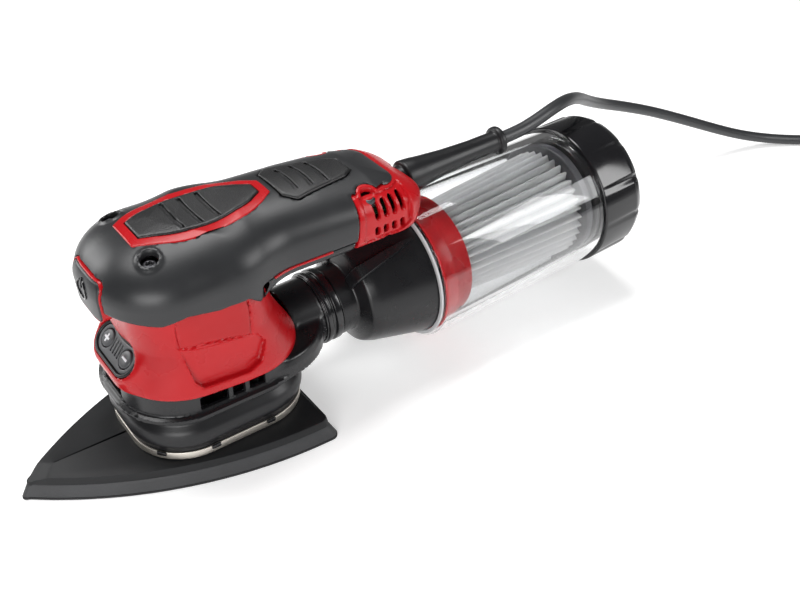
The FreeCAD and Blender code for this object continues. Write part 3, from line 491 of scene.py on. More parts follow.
# ---------------------------------------------------------------- outlines
def even(points, count):
    """The closed line through the points, with count evenly spaced points."""
    points = np.asarray(points, float)
    loop = np.vstack([points, points[:1]])
    length = np.r_[0, np.cumsum(np.linalg.norm(np.diff(loop, axis=0), axis=1))]
    spots = np.linspace(0, length[-1], count, endpoint=False)
    return np.stack([np.interp(spots, length, loop[:, axis]) for axis in range(2)], 1)


def through(start, middle, end, steps):
    """Points on the arc through three points, without the last."""
    start, middle, end = (np.array(point, float) for point in (start, middle, end))
    first, second = middle - start, end - start
    cross = 2 * (first[0] * second[1] - first[1] * second[0])
    squares = first @ first, second @ second
    centre = start + np.array([second[1] * squares[0] - first[1] * squares[1],
                               first[0] * squares[1] - second[0] * squares[0]]) / cross
    radius = np.linalg.norm(start - centre)
    angles = [math.atan2(*(point - centre)[::-1]) for point in (start, middle, end)]
    sweep = (angles[2] - angles[0]) % (2 * math.pi)
    if (angles[1] - angles[0]) % (2 * math.pi) > sweep:
        sweep -= 2 * math.pi
    turn = angles[0] + np.linspace(0, sweep, steps, endpoint=False)
    return centre + radius * np.stack([np.cos(turn), np.sin(turn)], 1)


PAD_TIP = -102.0
PAD_REAR = 48.0
PAD_HALF = 53.5
PAD_POINTS = 360


def delta_outline(inset):
    """The iron-shaped pad's outline, drawn in by inset."""
    nose, corner, bow = 2.4, 4.5, 12.8
    low = np.array([PAD_TIP + nose, nose])
    high = np.array([PAD_REAR - corner, PAD_HALF])
    along = (high - low) / np.linalg.norm(high - low)
    middle = (low + high) / 2 + np.array([-along[1], along[0]]) * bow
    turn = np.array([PAD_REAR - 0.3 * corner, PAD_HALF - 0.3 * corner])
    edge = np.array([PAD_REAR, PAD_HALF - corner])
    centre = np.array([(PAD_TIP + PAD_REAR) / 2, 0])
    scale = np.array([1 - 2.5 * inset / (PAD_REAR - PAD_TIP), 1 - inset / PAD_HALF])

    def inner(point):
        return centre + (np.array(point) - centre) * scale

    half_a = np.vstack([through(inner((PAD_TIP, 0)), inner((PAD_TIP + nose * 0.35, nose * 0.75)),
                                inner(low), 8),
                        through(inner(low), inner(middle), inner(high), 90),
                        through(inner(high), inner(turn), inner(edge), 12),
                        np.linspace(inner(edge), inner((PAD_REAR, 0)), 40, endpoint=False)])
    half_b = half_a[:0:-1] * np.array([1, -1])
    rear = inner((PAD_REAR, 0))[None]
    return even(np.vstack([half_a, rear, half_b]), PAD_POINTS)


SKIRT_FRONT = -46.0
SKIRT_REAR = 46.0
SKIRT_HALF = 38.0
SKIRT_CORNER = 29.0
SKIRT_POINTS = 240


def skirt_outline(inset):
    """The skirt family's outline: band, bellows and shroud."""
    front, rear = SKIRT_FRONT + inset, SKIRT_REAR - inset
    half, corner = SKIRT_HALF - inset, SKIRT_CORNER - inset
    turn = np.linspace(0, math.pi / 2, 24)
    points = []
    for quarter, (sx, sy) in enumerate(((1, 1), (-1, 1), (-1, -1), (1, -1))):
        centre = np.array([(rear if sx > 0 else front) - sx * corner, sy * (half - corner)])
        angle = turn + quarter * math.pi / 2
        points.append(centre + corner * np.stack([np.cos(angle), np.sin(angle)], 1))
    return even(np.vstack(points), SKIRT_POINTS)


def at_height(outline, height):
    """An outline as 3-D points at one height, or at one height for each point."""
    return np.column_stack([outline, np.broadcast_to(height, len(outline))])


# ---------------------------------------------------------------- the cord
ROUTE = [(193, 0, 108), (206, 0, 108.6), (220, 0.6, 111.2), (235, 2.4, 114.4), (250, 7, 113.8),
         (267, 15.6, 107.6), (286, 27.8, 97.4), (306, 40, 85.6), (330, 49.6, 73.4),
         (358, 52.5, 62.5), (388, 51.5, 51), (420, 47, 37.5), (450, 41, 24.5), (476, 35, 14),
         (498, 28, 7.4), (517, 18.5, 4.2), (533, 7.5, 3.85), (549, -2, 3.85), (567, -9.5, 3.85),
         (586, -14.2, 3.85)]
CORD_RADIUS = 3.75
COIL_CENTRE = (571.1, -73.7)
COIL_LEVELS = (3.9, 11.45, 19.1)
COIL_PITCH = 7.7
INNER_TURN = 30.5
OUTER_TURN = 61.3
PLUG_ANGLE = 35.8
PLUG_HEIGHT = 30.0
TURN_POINTS = 36
SHIFT_ZONE = 0.2
CLIMB_SWELL = 4.5
CLOSING_STEP = 10
TAIL_RISE = 45.0


def coil_points():
    """Thirteen turns wound clockwise: in along the floor, out above it, and in again."""
    plan = [(OUTER_TURN - COIL_PITCH * index, 0) for index in range(5)]
    plan += [(INNER_TURN + COIL_PITCH * index, 1) for index in range(4)]
    plan += [(INNER_TURN + COIL_PITCH * index, 2) for index in (3, 2, 1, 0)]
    heading = Vector(ROUTE[-1]) - Vector(ROUTE[-2])
    start = math.atan2(heading.x, -heading.y)
    end = math.radians(PLUG_ANGLE)
    points = []
    for index, (radius, level) in enumerate(plan):
        after = plan[index + 1] if index + 1 < len(plan) else (radius, level)
        for step in range(TURN_POINTS):
            share = step / TURN_POINTS
            late = min(1, max(0, (share - 1 + SHIFT_ZONE) / SHIFT_ZONE))
            late = late * late * (3 - 2 * late)
            swell = 0.0
            if after[1] != level:
                swell = CLIMB_SWELL * math.sin(math.pi * late) * (1 if radius > 40 else -1)
            here = radius + (after[0] - radius) * late + swell
            height = COIL_LEVELS[level] + (COIL_LEVELS[after[1]] - COIL_LEVELS[level]) * late
            angle = start - 2 * math.pi * share
            if index == 0 and step == 0:
                continue
            points.append((COIL_CENTRE[0] + here * math.cos(angle),
                           COIL_CENTRE[1] + here * math.sin(angle), height))
    closing = math.degrees(start - end)
    for step in range(int(closing // CLOSING_STEP)):
        angle = start - math.radians(CLOSING_STEP) * step
        rise = min(1, max(0, 1 - (closing - CLOSING_STEP * step) / TAIL_RISE))
        rise = rise * rise * (3 - 2 * rise)
        points.append((COIL_CENTRE[0] + INNER_TURN * math.cos(angle),
                       COIL_CENTRE[1] + INNER_TURN * math.sin(angle),
                       COIL_LEVELS[2] + (PLUG_HEIGHT - COIL_LEVELS[2]) * rise))
    return points


def beside_coil(along):
    """A point at the plug's height, along the inner turn's tangent there."""
    angle = math.radians(PLUG_ANGLE)
    return (COIL_CENTRE[0] + INNER_TURN * math.cos(angle) + along * math.sin(angle),
            COIL_CENTRE[1] + INNER_TURN * math.sin(angle) - along * math.cos(angle), PLUG_HEIGHT)


def build_cord():
    """The power cord: from the gland over the canister to a coil beside the machine."""
    points = list(ROUTE) + coil_points() + [beside_coil(0), beside_coil(8)]
    curve = bpy.data.curves.new("power_cord", "CURVE")
    curve.dimensions = "3D"
    curve.bevel_depth = CORD_RADIUS * MM
    curve.bevel_resolution = 5
    curve.resolution_u = 4
    curve.use_fill_caps = True
    line = curve.splines.new("NURBS")
    line.points.add(len(points) - 1)
    for spot, point in zip(line.points, points):
        spot.co = (*(Vector(point) * MM), 1)
    line.order_u = 3
    line.use_endpoint_u = True
    line.resolution_u = 6
    cord = linked("power_cord", curve)
    dress(cord, "machine", "cord_jacket", None, ("cord_lead", "cord_coil", "cord_tail"))
    return cord


# ---------------------------------------------------------------- grip: the head and handle
HEAD_SIDE = 39.3
HEAD_WIDEST = 106.0
ROUNDNESS = 2.3
SEAM_HEIGHT = 100.5
HEAD_BACK = 18.5
VENT_REGION = [(73.5, 80), (76.5, 121), (104, 119.5), (116.5, 118), (131, 103), (131, 80)]
REAR_SCREW = (86, 24.5)
SCREWS = [(-27.5, 20.9), (-27.5, -20.9), REAR_SCREW, (REAR_SCREW[0], -REAR_SCREW[1])]
NOSE_LIMIT = -42.0
POWER_HEIGHT = 104.5
SHELL_WALL = 2.4


def dome(plan, above, reach, height, power=ROUNDNESS):
    """A field that is a vertical wall below its widest level and a dome above it."""
    inward = np.maximum(plan + reach, 0) / reach
    upward = np.maximum(above, 0) / height
    round_part = (inward ** power + upward ** power) ** (1 / power) - 1
    return round_part * np.minimum(reach, height)


def grip_outside(x, y, z):
    """The head and handle as one solid."""
    corner = np.where(x > -15.5, 17.0, 34.8)
    head_plan = plan_box(x, y, -52.0, 21.0, HEAD_SIDE, corner)
    low_taper = np.maximum(HEAD_WIDEST - z, 0) * 0.05
    crown = np.interp(x, [-52, -30, 0], [21.4, 22.0, 22.1])
    head = dome(head_plan + low_taper, z - HEAD_WIDEST, HEAD_SIDE, crown, 2.12)
    handle_plan = plan_box(x, y, 0.0, 123.0, 32.5, 21.0)
    crown = np.interp(x, [20, 60, 92, 105, 123], [20.6, 19.2, 16.6, 13.8, 9.5])
    over = dome(handle_plan, z - 108.0, 32.5, crown)
    under = dome(handle_plan, 108.0 - z, 32.5, 21.6, 3.2)
    handle = smooth_max(np.maximum(over, under), 93.6 - z, 4.0)
    return smooth_min(head, handle, 12.0)


def layer(outside, above, below):
    """The skin of a solid, from above its surface to below it."""
    return np.maximum(outside - above, -(outside + below))


def button_plan(y, z, half_wide, half_high, corner):
    """The power button's rounded outline, seen from the front."""
    return np.hypot(np.maximum(np.abs(y) - half_wide, 0),
                    np.maximum(np.abs(z - POWER_HEIGHT) - half_high, 0)) - corner


def head_edge(x):
    """Height of the head's lower edge along the tool."""
    return np.interp(x, [-53, -46, -31.8, -20.5, -5, 9.8, 17.2],
                     [101.5, 99.5, 97.0, 100.0, 96.9, 97.6, 90.6])


def cover_region(x, z):
    """Where the dark cover reaches: above the head's edge, and above the handle's seam."""
    head = np.maximum(x - HEAD_BACK, head_edge(x) - z)
    return smooth_min(head, SEAM_HEIGHT - z, 1.5)


def screw_wells(x, y, z):
    """Round recesses over the cover's screws."""
    wells = np.full(x.shape, FAR)
    for spot_x, spot_y in SCREWS:
        wells = np.minimum(wells, np.maximum(np.hypot(x - spot_x, y - spot_y) - 4.1, 118.5 - z))
    return wells


def screw_lips(x, y, z):
    """The raised rim round each screw recess."""
    outside = grip_outside(x, y, z)
    lips = np.full(x.shape, FAR)
    for spot_x, spot_y in SCREWS:
        from_axis = np.hypot(x - spot_x, y - spot_y)
        lips = np.minimum(lips, np.hypot(from_axis - 5.0, outside * 1.1) - 0.75)
    return lips


def power_window(x, y, z):
    """The opening of the front power button."""
    side = np.maximum(np.abs(y) - 15.3, np.abs(z - POWER_HEIGHT) - 10.7)
    corner = button_plan(y, z, 11.3, 6.7, 4.0)
    return np.maximum(np.maximum(side, corner), x - NOSE_LIMIT)


def teardrop_field(x, y, front, rear, half, nose_half, tail_half):
    """The hexagonal drop outline of the front palm pad and its ring."""
    shoulder = rear - 7.0
    upper = [(front, nose_half)]
    upper += [tuple(point) for point in through((front, nose_half), (front + 19.0, half),
                                                (shoulder, half * 0.62), 14)[1:]]
    upper += [(shoulder, half * 0.62), (rear, tail_half)]
    lower = [(px, -py) for px, py in reversed(upper)]
    return polygon_field(x, y, upper + lower)


def front_pad_field(x, y, grow=0.0):
    """The outline of the front palm pad, drawn out by grow."""
    return teardrop_field(x, y, -26 - grow, 37 + grow, 14.0 + grow, 7.6 + grow * 0.6,
                          4.0 + grow * 0.5)


def rear_pad_field(x, y, grow=0.0):
    """The outline of the rear palm pad, drawn out by grow."""
    half = [(45 - grow, 11.5 + grow * 0.6), (51, 17.0 + grow), (82, 10.5 + grow),
            (87.5 + grow, 6.5 + grow * 0.6)]
    return polygon_field(x, y, half + [(px, -py) for px, py in reversed(half)])


def vent_region(x, y, z):
    """Where the red vent housing replaces the cover, with a tab round each rear screw."""
    tab = np.hypot(x - REAR_SCREW[0], np.minimum(np.abs(y) - REAR_SCREW[1], 0)) - 6.3
    return np.minimum(polygon_field(x, z, VENT_REGION), np.maximum(tab, 112 - z))


def cover_field(x, y, z):
    """The dark cover as a shell with its openings."""
    outside = grip_outside(x, y, z)
    shell = layer(outside, 0, SHELL_WALL)
    shell = smooth_min(shell, screw_lips(x, y, z), 1.2)
    shell = smooth_max(shell, cover_region(x, z) + 0.05, 0.8)
    shell = smooth_max(shell, -(vent_region(x, y, z) - 0.15), 0.4)
    shell = smooth_max(shell, -screw_wells(x, y, z), 0.5)
    shell = smooth_max(shell, -power_window(x, y, z), 0.5)
    sunk = np.maximum(front_pad_field(x, y, 4.1), -(outside + 1.0))
    sunk = np.minimum(sunk, np.maximum(rear_pad_field(x, y, 0.5), -(outside + 1.2)))
    shell = smooth_max(shell, -np.where(z > 110, sunk, 9.0), 0.4)
    return shell


def build_grip():
    """Cover, lower shell, vent housing, pads, ring, power button, trims and screws."""
    cover = surface_net("cover_shell", cover_field, (-56, -43, 87), (124, 43, 133), 1.0, 38)
    dress(cover, "machine", "soft_grip", None, ("grip_cover",))

    def lower_field(x, y, z):
        outside = grip_outside(x, y, z)
        shell = layer(outside, 0, SHELL_WALL)
        region = np.maximum(np.maximum(19.5 - x, x - 73.4), z - (SEAM_HEIGHT - 0.1))
        return smooth_max(shell, region, 0.8)

    lower = surface_net("handle_underside", lower_field, (17, -36, 90), (76, 36, 103), 1.1, 38)
    dress(lower, "machine", "soft_grip", "black_plastic", ("handle_lower_shell",))

    def vent_field(x, y, z):
        outside = grip_outside(x, y, z)
        panel = polygon_field(x, z, [(79, 98), (80, 120), (107, 118.6), (109, 101), (96, 95)])
        dent = smooth_max(panel, -(outside + 0.9), 0.8)
        shell = layer(outside, 0, SHELL_WALL)
        shell = smooth_max(shell, -np.where(np.abs(y) > 14, dent, 9.0), 0.8)
        shell = smooth_max(shell, vent_region(x, y, z) + 0.15, 0.5)
        slots = np.full(x.shape, FAR)
        for index in range(4):
            lean = 0.12 * (z - 112.6)
            middle = 87.4 + 5.2 * index - lean
            tall = np.hypot(x - middle, np.maximum(np.abs(z - 112.4) - 3.1, 0)) - 1.45
            middle_low = 86.2 + 5.2 * index - lean
            short = np.hypot(x - middle_low, np.maximum(np.abs(z - 101.2) - 1.2, 0)) - 1.4
            slots = np.minimum(slots, np.minimum(tall, short))
        slots = np.maximum(slots, 16 - np.abs(y))
        shell = smooth_max(shell, -slots, 0.5)
        shell = smooth_max(shell, -screw_wells(x, y, z), 0.5)
        hole = np.hypot(y, z - 107.2) - 7.2
        return smooth_max(shell, -np.maximum(hole, 95 - x), 0.5)

    vent = surface_net("vent_housing", vent_field, (72, -36, 88), (126, 36, 127), 0.8, 38)
    dress(vent, "machine", "red_plastic", None, ("rear_vent_housing",))

    def ring_field(x, y, z):
        outside = grip_outside(x, y, z)
        band = np.maximum(front_pad_field(x, y, 4.7), -front_pad_field(x, y, 0.25))
        skin = layer(outside, 0.3, 1.0)
        return smooth_max(smooth_max(skin, band, 0.4), 112 - z, 0.5)

    ring = surface_net("grip_ring", ring_field, (-32, -20, 117), (43, 20, 133), 0.5, 50)
    dress(ring, "machine", "red_plastic", None, ("palm_ring",))

    def grooved(field, centres, half, bend):
        def pad_field(x, y, z):
            outside = grip_outside(x, y, z)
            skin = layer(outside, 0.9, 1.0)
            solid = smooth_max(smooth_max(skin, field(x, y), 1.4), 112 - z, 0.5)
            for centre in centres:
                line = np.abs(x - centre + bend * y * y) - 0.95
                groove = np.maximum(np.maximum(line, np.abs(y) - half), -(outside + 0.35))
                solid = smooth_max(solid, -groove, 0.5)
            return solid
        return pad_field

    front = surface_net("front_grip_pad", grooved(front_pad_field, (-6.8, 2.4, 11.4), 12.4, -0.004),
                        (-28, -15, 118), (39, 15, 133), 0.5, 60)
    dress(front, "machine", "rubber", "pad_rubber", ("front_palm_pad",))
    rear = surface_net("rear_grip_pad", grooved(rear_pad_field, (54.5, 63.0, 71.6), 10.6, 0.006),
                       (43, -19, 114), (90, 19, 131), 0.5, 60)
    dress(rear, "machine", "rubber", "pad_rubber", ("rear_palm_pad",))

    def button_field(x, y, z):
        outside = grip_outside(x, y, z)
        skin = layer(outside, 0.45, 1.8)
        face = button_plan(y, z, 10.8, 6.2, 3.8)
        return smooth_max(smooth_max(skin, face, 1.0), x - NOSE_LIMIT, 0.5)

    button = surface_net("power_key_face", button_field, (-56, -16, 92), (-41, 16, 117), 0.5, 60)
    dress(button, "power_key", "soft_grip", None, ("power_button",))

    def outline_field(x, y, z):
        outside = grip_outside(x, y, z)
        skin = layer(outside, 0.3, 2.0)
        outer = button_plan(y, z, 11.0, 6.4, 4.15)
        inner = button_plan(y, z, 10.8, 6.2, 3.85)
        return smooth_max(smooth_max(skin, np.maximum(outer, -inner), 0.2), x - NOSE_LIMIT, 0.4)

    border = surface_net("power_key_border", outline_field, (-56, -17, 91), (-41, 17, 118), 0.4, 60)
    dress(border, "machine", "red_plastic")

    def symbol_field(x, y, z):
        outside = grip_outside(x, y, z)
        skin = layer(outside, 0.8, -0.1)
        high = z - 106.0
        circle = np.abs(np.hypot(y, high) - 4.7) - 0.45
        gap = np.maximum(np.abs(y) - 1.5, -high)
        circle = np.maximum(circle, -gap)
        stroke = np.hypot(y, np.maximum(np.abs(high - 3.4) - 2.2, 0)) - 0.45
        return np.maximum(np.maximum(skin, np.minimum(circle, stroke)), x - NOSE_LIMIT)

    symbol = surface_net("power_symbol", symbol_field, (-56, -6, 98), (-41, 6, 112), 0.25, 60)
    dress(symbol, "power_key", "soft_grip", "gloss_black")

    trims = []
    for side in (-1, 1):
        def trim_field(x, y, z, side=side):
            outside = grip_outside(x, y, z)
            skin = layer(outside, 0.35, 1.5)
            strip = np.maximum(np.abs(z - 100.3) - 0.55, np.abs(x - 43) - 17)
            return smooth_max(np.maximum(skin, strip), -side * y, 0.3)
        trims.append(surface_net("trim", trim_field, (24, min(0, side * 36), 98.6),
                                 (62, max(0, side * 36), 102), 0.45))
    dress(joined("handle_trims", trims), "machine", "red_plastic", None, ("trim_strips",))

    screws = []
    for spot_x, spot_y in SCREWS:
        top = crown_height(spot_x, spot_y) - 2.2
        screws.append(screw_head("cover_screw_head", 3.4, 2.4, (spot_x, spot_y, top)))
    dress(joined("cover_screw_heads", screws), "machine", "screw_black", None, ("cover_screws",))


def crown_height(x, y):
    """Height of the grip's top at one point in plan."""
    heights = np.linspace(100, 135, 701)
    values = grip_outside(np.full(701, float(x)), np.full(701, float(y)), heights)
    return float(heights[np.argmax(values > 0)])


def screw_head(name, radius, height, top_at):
    """A pan head with a six-lobed socket."""
    x, y, top = top_at
    profile = softened([(0.01, top - height - 6), (1.7, top - height - 6), (1.7, top - height),
                        (radius, top - height), (radius, top - 0.5), (radius - 0.9, top),
                        (1.9, top), (1.5, top - 1.6), (0.01, top - 1.6)], 0.3, 3)
    segments = 48
    angles = np.linspace(0, 2 * math.pi, segments, endpoint=False)
    rings = []
    for radius_here, height_here in profile:
        lobed = radius_here
        if radius_here < 2.0 and height_here > top - 1.8:
            lobed = radius_here * (1 + 0.16 * np.cos(6 * angles))
        rings.append(np.column_stack([x + lobed * np.cos(angles), y + lobed * np.sin(angles),
                                      np.full(segments, height_here)]))
    return loft(name, rings, (True, True), False, 40)


# ---------------------------------------------------------------- motor housing and keypad
HOUSING = np.array([(50, -48.2, 46.0, 39.6, 33), (54, -48.6, 45.8, 39.8, 33),
                    (57, -47.6, 44.2, 39.3, 32), (64, -44.5, 40.0, 38.2, 30),
                    (76, -40.5, 33.5, 36.3, 27), (88, -40.2, 31.2, 35.2, 26),
                    (100, -40.0, 29.5, 34.5, 25)])
KEY_CENTRE = (-42.3, 0.0, 66.5)
KEY_SLOPE = math.sqrt(0.5)
POCKET = [(-24.6, 79.4), (-23, 72), (-21, 61), (-17.7, 57.2), (6.6, 55.3), (13.6, 58.5),
          (17.8, 67.7), (13.4, 73.6)]
LABEL = [(-24.9, 80.1), (-24.2, 99), (10.4, 99), (11.8, 88), (10.8, 74.2), (0, 77.2), (-14, 79.9)]


def key_frame(x, y, z):
    """Coordinates on the keypad: up its face, across it, and out of it."""
    dx, dz = x - KEY_CENTRE[0], z - KEY_CENTRE[2]
    return KEY_SLOPE * (dx + dz), y - KEY_CENTRE[1], KEY_SLOPE * (dz - dx)


def kidney(up, across, radius):
    """The keypad's outline: two lobes with a hollow on the upper side only."""
    bar = np.hypot(up, np.maximum(np.abs(across) - 10, 0)) - radius
    hollow = 21.0 - np.hypot(up - radius - 19.6, across)
    return smooth_max(bar, hollow, 4.0)


def housing_low(x):
    """Height of the red housing's lower edge, which is higher towards the front."""
    return np.interp(x, [-50, -20, 5], [54.0, 52.4, 50.05])


def housing_plan(z):
    """Front, rear, half width and corner radius of the red housing at each height."""
    return [np.interp(z, HOUSING[:, 0], HOUSING[:, column]) for column in range(1, 5)]


def housing_outside(x, y, z):
    """The red housing's outer form, with the keypad's boss."""
    walls = smooth_max(plan_box(x, y, *housing_plan(z)), housing_low(x) - z, 1.2)
    up, across, out = key_frame(x, y, z)
    boss = smooth_max(kidney(up, across, 11.6), out - 0.5, 3.4)
    boss = np.maximum(boss, -out - 16)
    return smooth_min(walls, np.maximum(boss, housing_low(x) + 0.4 - z), 6.0)


def housing_field(x, y, z):
    """The housing as a shell with the side pockets and the keypad's seat."""
    outside = housing_outside(x, y, z)
    side = np.abs(y)
    pocket = polygon_field(x, z, POCKET)
    depth = np.interp(z, [55, 59, 79], [3.6, 3.3, 0.7])
    dish = smooth_max(pocket, -(outside + depth), 1.2)
    solid = smooth_max(outside, -np.where(side > 20, dish, 9.0), 0.7)
    line = np.maximum(np.abs(polygon_field(x, z, LABEL)) - 0.42, -(outside + 0.8))
    solid = np.maximum(solid, -np.where(side > 20, line, 9.0))
    up, across, out = key_frame(x, y, z)
    seat = np.maximum(kidney(up, across, 9.3), -out - 2.6)
    stem_wells = np.maximum(np.hypot(up, np.abs(across) - 10) - 2.8, -out - 4.2)
    seat = np.minimum(seat, stem_wells)
    solid = smooth_max(solid, -seat, 0.6)
    front, rear, half, corner = housing_plan(z)
    inner = plan_box(x, y, front + 3.6, rear - 3.6, half - 5.0, corner - 4)
    inner = np.maximum(inner, z - 101)
    return np.maximum(np.maximum(solid, -inner), z - 100)


LED_SPOTS = [-3.6, -1.2, 1.2, 3.6]
LED_LEAN = 0.12


def light_bars(up, across, half, radius):
    """The keypad's row of leaning light bars."""
    bars = np.full(up.shape, FAR)
    for spot in LED_SPOTS:
        beside = across - (spot + LED_LEAN * up)
        bars = np.minimum(bars, np.hypot(beside, np.maximum(np.abs(up) - half, 0)) - radius)
    return bars


def on_keypad(points):
    """Points (up, across, out) of the keypad's frame in the machine's frame."""
    points = np.asarray(points, float)
    up, across, out = points[:, 0], points[:, 1], points[:, 2]
    return np.column_stack([KEY_CENTRE[0] + KEY_SLOPE * (up - out), KEY_CENTRE[1] + across,
                            KEY_CENTRE[2] + KEY_SLOPE * (up + out)])


def keypad_net(name, field, low, high, step):
    """A surface net made in the keypad's frame and set in place."""
    obj = surface_net(name, field, low, high, step, 50)
    for vertex in obj.data.vertices:
        point = on_keypad([tuple(value / MM for value in vertex.co)])[0]
        vertex.co = Vector(point) * MM
    return obj


def build_housing():
    """Red housing, blank side labels, and the keypad with its lights and keys."""
    shell = surface_net("motor_shell", housing_field, (-60, -42, 48), (50, 42, 102), 0.9, 40)
    dress(shell, "machine", "red_plastic", None, ("motor_housing",))

    panels = []
    for side in (-1, 1):
        def panel_field(x, y, z, side=side):
            outside = housing_outside(x, y, z)
            sheet = layer(outside, 0.12, 1.0)
            label = polygon_field(x, z, LABEL) + 0.55
            return np.maximum(smooth_max(sheet, label, 0.4), -side * y)
        panels.append(surface_net("panel", panel_field, (-27, min(0, side * 42), 72),
                                  (14, max(0, side * 42), 101), 0.6))
    dress(joined("side_labels", panels), "machine", "red_plastic", "label_red", ("side_panels",))

    def gasket_field(up, across, out):
        wall = np.maximum(kidney(up, across, 9.1), -kidney(up, across, 7.3))
        return smooth_max(smooth_max(wall, out - 1.3, 1.0), -out - 2.4, 0.3)

    gasket = keypad_net("keypad_rim", gasket_field, (-11, -21, -3), (11, 21, 2.4), 0.4)
    dress(gasket, "machine", "rubber", None, ("keypad_gasket",))

    def plate_field(up, across, out):
        plate = smooth_max(smooth_max(kidney(up, across, 7.15), out - 0.5, 0.5), -out - 1.6, 0.3)
        for side in (-1, 1):
            hole = np.hypot(up, across - side * 10) - 4.95
            plate = smooth_max(plate, -hole, 0.4)
        bars = light_bars(up, across, 2.9, 0.62)
        return smooth_max(plate, -np.maximum(bars, -out - 1.0), 0.2)

    plate = keypad_net("keypad_face", plate_field, (-9, -19, -2.4), (9, 19, 2), 0.35)
    dress(plate, "machine", "key_grey", None, ("keypad_plate",))

    def led_field(up, across, out):
        bars = light_bars(up, across, 2.8, 0.5)
        return smooth_max(np.maximum(bars, out - 0.12), -out - 1.4, 0.2)

    lights = keypad_net("speed_lights", led_field, (-4.5, -6, -1.8), (4.5, 6, 0.6), 0.22)
    dress(lights, "machine", "gloss_black", None, ("speed_leds",))

    for side, body, node in ((1, "plus_key", "plus_button"), (-1, "minus_key", "minus_button")):
        def key_field(up, across, out, side=side):
            across = across - side * 10
            from_axis = np.hypot(up, across)
            crown = smooth_max(smooth_max(from_axis - 4.55, out - 1.3 + 0.02 * from_axis ** 2, 0.9),
                               -out - 1.2, 0.3)
            dish = np.hypot(from_axis, out - 7.6) - 6.5
            stem = np.maximum(from_axis - 1.6, np.abs(out + 1.9) - 0.7)
            return np.minimum(smooth_max(crown, -dish, 0.5), stem)

        key = keypad_net(node + "_face", key_field, (-5.5, side * 10 - 5.5, -3),
                         (5.5, side * 10 + 5.5, 2.2), 0.3)
        dress(key, body, "key_grey", None, (node,))

        def mark_field(up, across, out, side=side):
            across = across - side * 10
            cross = np.maximum(np.abs(up) - 0.58, np.abs(across) - 2.2)
            if side > 0:
                cross = np.minimum(cross, np.maximum(np.abs(across) - 0.58, np.abs(up) - 2.2))
            return np.maximum(cross, np.abs(out - 1.05) - 0.28)

        mark = keypad_net(node + "_mark", mark_field, (-3, side * 10 - 3, 0.5),
                          (3, side * 10 + 3, 1.7), 0.2)
        dress(mark, body, "key_grey", "mark_pale")


# ---------------------------------------------------------------- pad, bellows and shroud
DUST_HOLES = [(-60, 0), (-28, 20), (-28, -20), (12, 33), (12, -33), (36, 16), (36, -16)]
RIDGE_FRONT = -84.0
RIDGE_REAR = 40.0
RIDGE_HEIGHT = 14.3


def drilled(obj):
    """The pad layer with its dust holes."""
    drills = []
    for spot_x, spot_y in DUST_HOLES:
        def place(ring, spot_x=spot_x, spot_y=spot_y):
            return ring + np.array([spot_x, spot_y, 0])
        drills.append(lathe("drill", [(0.01, -3), (4, -3), (4, 12), (0.01, 12)], 40, place, False))
    drill = joined("drills", drills)
    modifier = obj.modifiers.new("holes", "BOOLEAN")
    modifier.operation = "DIFFERENCE"
    modifier.object = drill
    modifier.solver = "EXACT"
    apply_modifiers(obj)
    bpy.data.objects.remove(drill)
    shade_smooth(obj.data)
    sharpen(obj, 30)
    return obj


